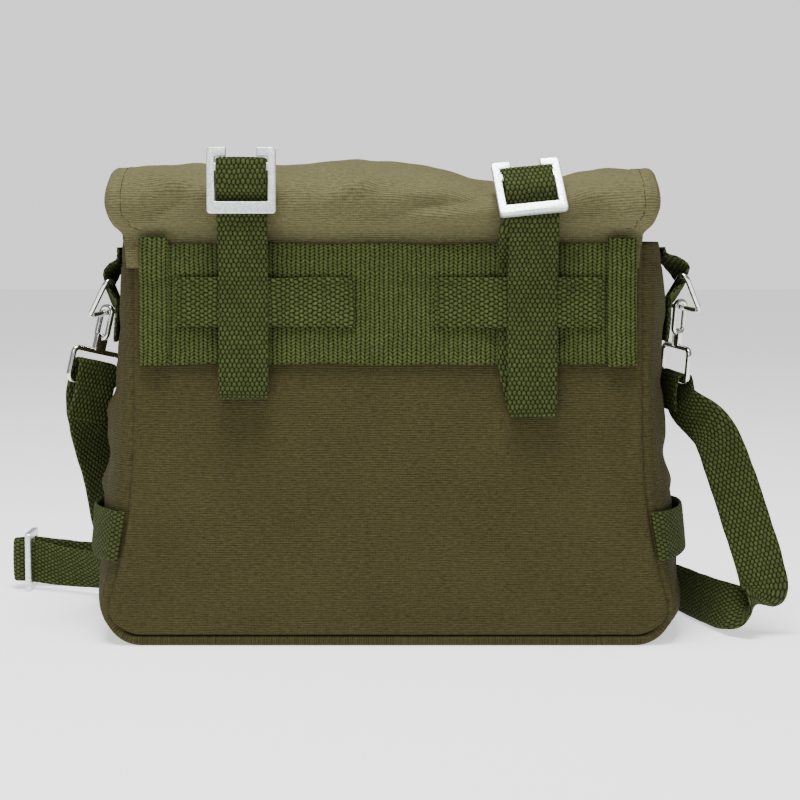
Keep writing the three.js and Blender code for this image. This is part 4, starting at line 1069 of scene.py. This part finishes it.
def closure_tab_keys(side):
    """Sewn on the front panel, then round the slide's lower bar and down again."""
    bar = CLOSURE_FOOT + SLIDE_BAR / 2
    sewn = [(float(panel_face(CLOSURE_X, bar + up)) + SEWN_OUT, bar + up) for up in (-19, -13)]
    places = [(-1, -5), (-1, 1), (-0.92, 2.9), (0, 3.5), (0.92, 2.9), (1, 1), (1, -5), (0.6, -12)]
    return closure_keys(side, sewn + [(CLOSURE_PLANE + SLIDE_PLANE * out, bar + up) for out, up in places])


# Stitches.
def stitches(name, places, ways, ups, length=3.0, thick=0.42):
    """Short rounded threads, one at each place: a spindle of five rings stretched along its way."""
    share = np.array([-1.0, -0.8, 0, 0.8, 1.0])
    girth = np.array([0.15, 0.75, 1.0, 0.75, 0.15])
    a = (np.arange(6) / 6 * 2 * math.pi)[None, None, :, None]
    ways, ups = unit(ways), unit(ups)
    sides = np.cross(ways, ups)
    ring = np.cos(a) * sides[:, None, None] + np.sin(a) * ups[:, None, None]
    points = (
        places[:, None, None]
        + share[None, :, None, None] * (length / 2) * ways[:, None, None]
        + girth[None, :, None, None] * thick / 2 * ring
    )
    caps = np.array([[0, 1, 2, 3], [0, 3, 4, 5], [24, 27, 26, 25], [24, 29, 28, 27]])
    one = np.concatenate([grid_quads(5, 6, wrap_columns=True), caps[:, ::-1]])
    quads = (np.arange(len(places))[:, None, None] * 5 * 6 + one[None]).reshape(-1, 4)
    flat = points.reshape(-1, 3)
    return add_mesh(name, flat, quads, flat[:, :2] * 0)


def seam_line(points, ups, pitch=3.6):
    """Places, ways and ups of stitches an even pitch apart along a line."""
    line, _ = even(np.concatenate([points, ups], -1), pitch)
    way = np.gradient(line[:, :3], axis=0)
    return line[:, :3], way, line[:, 3:]


def sewn(name, seams, **sizes):
    """Stitches along several seam lines, in one piece."""
    return stitches(name, *(np.concatenate(part) for part in zip(*seams)), **sizes)


# Materials.
class Nodes:
    """A small helper that adds nodes to a tree and links them. A value is a number or a socket."""

    def __init__(self, tree):
        self.tree = tree

    def add(self, kind, **settings):
        node = self.tree.nodes.new(kind)
        for key, value in settings.items():
            setattr(node, key, value)
        return node

    def link(self, a, b):
        self.tree.links.new(a, b)

    def math(self, operation, *values):
        node = self.add("ShaderNodeMath", operation=operation)
        for target, value in zip(node.inputs, values):
            if isinstance(value, (int, float)):
                target.default_value = value
            else:
                self.link(value, target)
        return node.outputs[0]

    def plus(self, first, *others):
        for other in others:
            first = self.math("ADD", first, other)
        return first

    def less(self, a, b):
        return self.math("SUBTRACT", a, b)

    def times(self, first, *others):
        for other in others:
            first = self.math("MULTIPLY", first, other)
        return first

    def over(self, a, b):
        return self.math("DIVIDE", a, b)

    def noise(self, vector, scale, detail=3.0, rough=0.5):
        node = self.add("ShaderNodeTexNoise", noise_dimensions="3D")
        self.link(vector, node.inputs["Vector"])
        node.inputs["Scale"].default_value = scale
        node.inputs["Detail"].default_value = detail
        node.inputs["Roughness"].default_value = rough
        return node.outputs["Fac"]

    def threads(self, cloth, across, along, detail):
        """Fine noise that is stretched along the yarns: how often it changes in 100 mm, each way."""
        node = self.add("ShaderNodeMapping")
        self.link(cloth, node.inputs["Vector"])
        node.inputs["Scale"].default_value = (across, along, 1.0)
        return self.noise(node.outputs[0], 1.0, detail, 0.6)

    def millimetres(self, cloth):
        """Distances across and along the cloth."""
        part = self.add("ShaderNodeSeparateXYZ")
        self.link(cloth, part.inputs[0])
        return self.times(part.outputs[0], 100.0), self.times(part.outputs[1], 100.0)

    def mix(self, share, a, b):
        node = self.add("ShaderNodeMix", data_type="RGBA")
        self.link(share, node.inputs[0])
        for target, value in ((node.inputs[6], a), (node.inputs[7], b)):
            if isinstance(value, tuple):
                target.default_value = (*value, 1.0)
            else:
                self.link(value, target)
        return node.outputs[2]

    def span(self, value, low, high, to_low=0.0, to_high=1.0):
        node = self.add("ShaderNodeMapRange")
        self.link(value, node.inputs[0])
        for k, number in enumerate((low, high, to_low, to_high)):
            node.inputs[k + 1].default_value = number
        return node.outputs[0]

    def relief(self, height, strength, distance, shader):
        """A bump of this height in metres on the shader."""
        bump = self.add("ShaderNodeBump")
        bump.inputs["Strength"].default_value = strength
        bump.inputs["Distance"].default_value = distance
        self.link(height, bump.inputs["Height"])
        self.link(bump.outputs[0], shader.inputs["Normal"])


def new_group(name, values, results):
    """A node group that takes cloth coordinates and these values: its nodes, its inputs and its outputs."""
    group = bpy.data.node_groups.new(name, "ShaderNodeTree")
    group.interface.new_socket(name="Cloth", in_out="INPUT", socket_type="NodeSocketVector")
    for key, value in values.items():
        made = group.interface.new_socket(name=key, in_out="INPUT", socket_type="NodeSocketFloat")
        made.default_value = value
    for key in results:
        group.interface.new_socket(name=key, in_out="OUTPUT", socket_type="NodeSocketFloat")
    n = Nodes(group)
    return n, n.add("NodeGroupInput").outputs, n.add("NodeGroupOutput").inputs


def canvas_weave():
    """Heavy canvas: ribs across the cloth with crossing yarns, uneven thread by thread."""
    pitches = {"Rib Pitch": 1.15, "Yarn Pitch": 0.8}
    n, given, put = new_group("canvas weave", pitches, ("Height", "Slub", "Patch"))
    cloth = given["Cloth"]
    u, v = n.millimetres(cloth)

    def ribs(distance, pitch):
        return n.math("ABSOLUTE", n.math("SINE", n.times(n.over(distance, pitch), math.pi)))

    bend = n.add("ShaderNodeMapping")
    n.link(cloth, bend.inputs["Vector"])
    bend.inputs["Scale"].default_value = (3.0, 9.0, 1.0)
    rib = ribs(n.plus(v, n.times(n.noise(bend.outputs[0], 1.6, 2.0), 1.6)), given["Rib Pitch"])
    yarn = ribs(u, given["Yarn Pitch"])
    slub = n.threads(cloth, 34.0, 95.0, 2.0)
    cross = n.threads(cloth, 120.0, 60.0, 2.0)
    weave = n.plus(n.times(rib, 0.9), n.times(yarn, 0.3), n.times(slub, 0.4))
    n.link(n.times(weave, 0.6), put["Height"])
    n.link(n.plus(n.times(slub, 0.6), n.times(cross, 0.4)), put["Slub"])
    n.link(n.noise(cloth, 2.2, 4.0, 0.6), put["Patch"])
    return n.tree


def weave_values(style):
    """The web weave's inputs for one kind of webbing."""
    return dict(zip(("Across", "Along", "Stagger", "Slant", "Narrow", "Short"), WEAVES[style]))


def web_weave():
    """Woven webbing: oval strands with the columns, rows and arches of the webs' relief."""
    n, given, put = new_group("web weave", weave_values("cord"), ("Height", "Strand", "Fibre"))
    cloth = given["Cloth"]
    u, v = n.millimetres(cloth)
    b = n.over(v, given["Along"])
    second = n.math("FLOORED_MODULO", n.math("ROUND", b), 2.0)
    column = n.plus(n.over(u, given["Across"]), n.times(second, 0.5, given["Stagger"]))
    k = n.math("FLOOR", column)
    a = n.less(n.less(column, k), 0.5)
    turned = n.less(1.0, n.times(n.math("FLOORED_MODULO", k, 2.0), 2.0))
    b = n.plus(b, n.times(a, given["Slant"], turned))
    row = n.math("ROUND", b)
    b = n.less(b, row)

    def squared(t, by):
        """The square of the product of two values."""
        wide = n.times(t, by)
        return n.times(wide, wide)

    def arch(t):
        """The height of a round arch, where this is the square of the distance from its middle."""
        return n.math("SQRT", n.math("MAXIMUM", n.less(1.0, t), 0.0))

    dome = arch(n.plus(squared(a, given["Narrow"]), squared(b, given["Short"])))
    n.link(n.plus(n.times(dome, 0.7), n.times(arch(squared(a, 2.0)), 0.3)), put["Height"])
    cell = n.add("ShaderNodeCombineXYZ")
    n.link(k, cell.inputs[0])
    n.link(row, cell.inputs[1])
    pick = n.add("ShaderNodeTexWhiteNoise", noise_dimensions="3D")
    n.link(cell.outputs[0], pick.inputs["Vector"])
    n.link(pick.outputs["Value"], put["Strand"])
    n.link(n.threads(cloth, 160.0, 60.0, 3.0), put["Fibre"])
    return n.tree


CANVAS_WEAVE = canvas_weave()
WEB_WEAVE = web_weave()


def new_material(name, roughness, metallic=0.0):
    """A material with its own nodes: the material, its nodes and its Principled shader."""
    made = bpy.data.materials.new(name)
    made.use_nodes = True
    shader = made.node_tree.nodes["Principled BSDF"]
    shader.inputs["Roughness"].default_value = roughness
    shader.inputs["Metallic"].default_value = metallic
    return made, Nodes(made.node_tree), shader


def cloth_material(name, roughness, group, values):
    """A matt material that reads the piece's own cloth coordinates through a weave group."""
    made, n, shader = new_material(name, roughness)
    shader.inputs["Specular IOR Level"].default_value = 0.15
    cloth = n.add("ShaderNodeUVMap", uv_map="cloth").outputs[0]
    weave = n.add("ShaderNodeGroup", node_tree=group)
    n.link(cloth, weave.inputs["Cloth"])
    for key, value in values.items():
        weave.inputs[key].default_value = value
    return made, n, shader, cloth, weave.outputs


def canvas_material(name, dark, light):
    """Olive canvas: dark with painted shade between its ribs, paler on their crowns and slubs, with soft
    patches of wear.
    """
    made, n, shader, _, weave = cloth_material(name, 0.92, CANVAS_WEAVE, {})
    tone = n.span(weave["Slub"], 0.33, 0.67)
    patch = n.span(weave["Patch"], 0.3, 0.7)
    # Painted shade: the weave's height makes the colour dark between the ribs and pale on their crowns;
    # slubs and patches vary it as well.
    share = n.plus(n.times(tone, 0.36), n.times(patch, 0.1), n.times(weave["Height"], 0.66))
    n.link(n.mix(n.less(share, 0.06), dark, light), shader.inputs["Base Color"])
    n.relief(weave["Height"], 0.8, 0.00035, shader)
    return made


def web_material(name, style, deep, dark, light):
    """Olive webbing: painted shade, near black, between strands, green on them, paler where single strands
    catch light.
    """
    made, n, shader, cloth, weave = cloth_material(name, 0.88, WEB_WEAVE, weave_values(style))
    worn = n.span(n.noise(cloth, 2.2, 2.0), 0.3, 0.7)
    share = n.plus(n.times(weave["Fibre"], 0.6), n.times(weave["Strand"], 0.12), n.times(worn, 0.1))
    face = n.mix(n.span(share, 0.2, 0.65), dark, light)
    # Painted shade: the weave's low places take the near black colour, its raised strands the face colour.
    n.link(n.mix(n.span(weave["Height"], 0.12, 0.85), deep, face), shader.inputs["Base Color"])
    n.relief(n.plus(weave["Height"], n.times(weave["Fibre"], 0.25)), 0.9, 0.0004, shader)
    return made


def metal_material(name, colour, roughness, metallic, grain, dull):
    """Metal with fine scuffs: its roughness and colour vary in small patches on the object."""
    made, n, shader = new_material(name, roughness, metallic)
    where = n.add("ShaderNodeTexCoord").outputs["Object"]
    patch = n.noise(where, grain, 4.0, 0.6)
    n.link(n.mix(n.span(patch, 0.42, 0.68), colour, dull), shader.inputs["Base Color"])
    n.link(n.span(patch, 0.3, 0.75, roughness * 0.8, roughness * 1.3), shader.inputs["Roughness"])
    n.relief(n.noise(where, grain * 5, 3.0), 0.25, 0.0001, shader)
    return made


# The dark canvas colours also serve as painted shade between the ribs.
CANVAS_DARK, CANVAS_LIGHT = (0.0020, 0.0018, 0.0004), (0.068, 0.059, 0.020)
# The flap's canvas is painted paler than the body's: painted light standing in for the stronger light from
# above on the bag's top.
FLAP_LIT_DARK, FLAP_LIT_LIGHT = (0.022, 0.021, 0.008), (0.155, 0.145, 0.068)
body_canvas = canvas_material("body canvas", CANVAS_DARK, CANVAS_LIGHT)
flap_canvas_painted_lit = canvas_material("flap canvas painted lit", FLAP_LIT_DARK, FLAP_LIT_LIGHT)
# The first web colour is painted shade between the strands; the others are the strands' own dark and light.
WEB_PAINTED_SHADE, WEB_DARK, WEB_LIGHT = (0.0044, 0.0066, 0.0008), (0.029, 0.040, 0.0070), (0.092, 0.116, 0.029)
WEB_SHADES = {"cord": 0.76, "plait": 0.94, "fuzzy": 0.9}


def shaded(colour, share):
    """A share of a colour's light."""
    return tuple(c * share for c in colour)


webs = {}
for style, share in WEB_SHADES.items():
    face = shaded(WEB_DARK, share), shaded(WEB_LIGHT, share)
    webs[style] = web_material(f"webbing {style}", style, WEB_PAINTED_SHADE, *face)
# The thread's painted shade between its strands is its own dark colour.
thread = web_material("sewing thread", "cord", WEB_DARK, WEB_DARK, WEB_LIGHT)
cast_alloy = metal_material("cast alloy", (0.8, 0.83, 0.83), 0.4, 0.85, 900.0, (0.5, 0.54, 0.54))
plated_wire = metal_material("plated wire", (0.78, 0.78, 0.76), 0.16, 1.0, 300.0, (0.62, 0.62, 0.6))


def finish_piece(obj, material, slot, *nodes):
    """A piece of the bag: its material, a slot that is not used, and the CAD nodes whose place it takes."""
    obj.data.materials.clear()
    obj.data.materials.append(material)
    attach(obj, "root")
    if nodes:
        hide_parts(*nodes)
    return obj


def finish_web(obj, style, node):
    """A piece of webbing of this weave."""
    return finish_piece(obj, webs[style], "webbing", node)


def finish_wire(obj, node):
    """A piece of bent wire."""
    return finish_piece(obj, plated_wire, "plated_wire", node)


def finish_cast(node):
    """A cast piece, made from the CAD node that it takes the place of."""
    return finish_piece(cast_frame(f"{node}_cast", node), cast_alloy, "cast_alloy", node)


# Building.
finish_piece(panel("back_panel_cloth", -1), body_canvas, "canvas", "back_panel")
finish_piece(panel("front_panel_cloth", 1), body_canvas, "canvas", "front_panel")
finish_piece(gusset("gusset_cloth"), body_canvas, "canvas", "gusset")
flap_cloth, flap_grid, flap_normals, flap_uv = flap("flap_cloth")
# The flap takes the canvas painted paler for the light on the bag's top.
finish_piece(flap_cloth, flap_canvas_painted_lit, "canvas", "flap")

band = sewn_web(
    "back_band_web", -BAND_HALF, BAND_HALF, BAND_BOTTOM, BAND_TOP, lambda x: BAND_LAYER + 0 * x,
    "plait", upright=True, seed=11, step=0.65,
)
finish_web(band, "plait", "back_band")

for number, (name, loop) in enumerate(BELT_LOOPS.items()):
    side = loop["side"]
    finish_web(keeper(f"keeper_{name}_web", loop, 21 + number), "fuzzy", f"keeper_{name}")
    keys = belt_strap_keys(loop)
    strap, _ = ribbon(f"belt_strap_{name}_web", keys, 0.68, 38, closed=True, seed=31 + number)
    finish_web(strap, "cord", f"belt_strap_{name}")
    finish_cast(f"belt_buckle_{name}")
    ends = sorted((side * BAND_HALF, side * (BAND_HALF - BAND_END_WIDTH)))

    def fold(x, middle=side * (BAND_HALF - BAND_END_WIDTH / 2)):
        """The folded end is a little full along its middle."""
        return REAR_LAYER + 0.35 * np.cos((x - middle) / BAND_END_WIDTH * math.pi * 2) - 0.2

    bound = sewn_web(
        f"band_end_{name}_web", ends[0], ends[1], BAND_BOTTOM - 1, BAND_TOP + BAND_END_OVERHANG,
        fold, "plait", upright=True, seed=41 + number, step=0.55,
    )
    finish_web(bound, "plait", f"band_end_{name}")

for number, (name, seat) in enumerate(SEATS.items()):
    side = seat["side"]
    finish_web(ring_tab(f"ring_tab_{name}_web", seat, 51 + number), "cord", f"ring_tab_{name}")
    ring = wire(f"triangle_ring_{name}_wire", ring_corners(seat), 2.6, WIRE_RADIUS)
    finish_wire(ring, f"triangle_ring_{name}")
    finish_wire(snap_hook(f"snap_hook_{name}_wire", HOOKS[name]), f"snap_hook_{name}")
    finish_web(side_band(f"side_band_{name}_web", side, 61 + number), "cord", f"side_band_{name}")
    closing, _ = ribbon(f"closure_strap_{name}_web", closure_strap_keys(side), 0.8, 34, seed=71 + number)
    finish_web(closing, "cord", f"closure_strap_{name}")
    held, _ = ribbon(f"closure_tab_{name}_web", closure_tab_keys(side), 0.8, 34, seed=81 + number)
    finish_web(held, "cord", f"closure_tab_{name}")
    finish_cast(f"closure_buckle_{name}")

strap, strap_line = ribbon("shoulder_strap_web", shoulder_strap_keys(), 1.05, 32, seed=91)
finish_web(strap, "cord", "shoulder_strap")
slide = finish_cast("strap_slide")


# Stitches along the flap's hem and the gusset's mouth, and in boxes on the sewn webs.
def flap_seam(distance):
    """A line on the flap a given distance inside its free rim."""
    s, t = flap_uv[..., 0], flap_uv[..., 1]
    rows = np.where((t[:, 0] > FLAP_FREE) & (t[:, 0] < t[-1, 0] - 40))[0]
    lines = []
    for sign in (-1, 1):
        picked = []
        for i in rows:
            edge = s[i, 0] if sign < 0 else s[i, -1]
            j = int(np.argmin(np.abs(s[i] - (edge - sign * distance))))
            picked.append(np.concatenate([flap_grid[i, j], flap_normals[i, j]]))
        lines.append(np.array(picked))
    return lines


seams = [seam_line(line[:, :3] + line[:, 3:] * 0.05, line[:, 3:]) for line in flap_seam(HEM_SEAM)]
for side in (-1, 1):
    y = np.linspace(-34, 34, 60)
    z = np.full_like(y, BAG_HEIGHT - MOUTH_HEM - 0.5)
    line = np.stack([side * (gusset_face(side, y, z) - 0.1), y, z], -1)
    seams.append(seam_line(line, np.broadcast_to([float(side), 0, 0], line.shape)))
finish_piece(sewn("hem_stitches", seams), thread, "canvas")


def box_seams(name, boxes):
    """Boxes of stitches on sewn webs: each is a face, its middle, its half sizes and the way out of the web.

    A face turns two numbers, across and up, into a point."""
    found = []
    for face, across, up, half_across, half_up, out in boxes:
        corner = [(-1, -1), (1, -1), (1, 1), (-1, 1), (-1, -1)]
        for start, end in zip(corner, corner[1:]):
            t = np.linspace(0.04, 0.96, 24)
            a = across + half_across * (start[0] + (end[0] - start[0]) * t)
            b = up + half_up * (start[1] + (end[1] - start[1]) * t)
            line = face(a, b)
            found.append(seam_line(line, np.broadcast_to(np.array(out, float), line.shape), 2.9))
    return sewn(name, found, length=2.3, thick=0.5)


def keeper_surface(x, z):
    """The outer face of a keeper's sewn end."""
    return np.stack([x, -(panel_face(x, z) + lap_step(z) + REAR_LAYER + WEB / 2 + 0.02), z], -1)


def closure_surface(x, z):
    """The outer face of a closure strap where it is sewn on the flap."""
    return np.stack([x, panel_face(x, z) + FLAP_CLEARANCE + CLOTH + SEWN_OUT + WEB / 2 + 0.02, z], -1)


def tab_surface(side):
    """The outer face of a tab's tail on this gusset."""

    def surface(y, z):
        return np.stack([side * (gusset_face(side, y, z) + SEAT_GAP + WEB / 2 + 0.02), y, z], -1)

    return surface


BOX_HALF = 9.5
boxes = []
for loop in BELT_LOOPS.values():
    side = loop["side"]
    outer = side * (BAND_HALF - BAND_END_WIDTH - loop["inset"])
    inner = outer - side * KEEPER_LENGTH * loop["share"]
    for x in (outer - side * 9, inner + side * 9):
        boxes.append((keeper_surface, x, KEEPER_TOP - WEB_WIDTH / 2, 6.5, BOX_HALF, (0, -1, 0)))
    boxes.append((closure_surface, side * CLOSURE_X, FLAP_HEM + 46, BOX_HALF, BOX_HALF, (0, 1, 0)))
    boxes.append((tab_surface(side), 0, TAB_TAIL + 7, BOX_HALF, 5, (side, 0, 0)))
finish_piece(box_seams("box_stitches", boxes), thread, "webbing")

# The floor, the light and the camera.
WORLD_LIGHT = 0.3
BACKDROP = 1.25
CAMERA_SPOT = (0.006, -1.0, 0.21)
CAMERA_AIM = (0.006, -0.05, 0.126)
CAMERA_LENS = 85.5
floor_mesh = bpy.data.meshes.new("floor")
floor_mesh.from_pydata([(-6, -4, 0), (6, -4, 0), (6, 6, 0), (-6, 6, 0)], [], [(0, 1, 2, 3)])
floor = place("floor", floor_mesh)
pale, _, pale_shader = new_material("pale floor", 0.9)
pale_shader.inputs["Base Color"].default_value = (0.95, 0.95, 0.95, 1)
pale_shader.inputs["Emission Color"].default_value = (1, 1, 1, 1)
pale_shader.inputs["Emission Strength"].default_value = 0.8
floor_mesh.materials.append(pale)

world = bpy.data.worlds.new("studio")
world.use_nodes = True
world_nodes = Nodes(world.node_tree)
background = world.node_tree.nodes["Background"]
background.inputs["Color"].default_value = (1, 1, 1, 1)
seen = world_nodes.add("ShaderNodeLightPath").outputs["Is Camera Ray"]
world_nodes.link(world_nodes.span(seen, 0.0, 1.0, WORLD_LIGHT, BACKDROP), background.inputs["Strength"])
bpy.context.scene.world = world


def stand(obj, spot, aim):
    """Put a light or the camera at a spot, turned to a point."""
    obj.location = spot
    obj.rotation_euler = (Vector(aim) - Vector(spot)).to_track_quat("-Z", "Y").to_euler()


def area_light(name, spot, aim, size, power):
    """A round soft light of this width in metres."""
    light = bpy.data.lights.new(name, "AREA")
    light.shape = "DISK"
    light.size = size
    light.energy = power
    stand(place(name, light), spot, aim)


area_light("softbox above", (-0.1, -0.35, 1.5), (0, 0, 0.15), 0.8, 42)
area_light("softbox in front", (-0.35, -1.7, 0.9), (0, 0, 0.12), 1.0, 9)

camera_data = bpy.data.cameras.new("camera")
camera_data.sensor_width = 36
camera_data.lens = CAMERA_LENS
camera = place("camera", camera_data)
stand(camera, CAMERA_SPOT, CAMERA_AIM)
bpy.context.scene.camera = camera
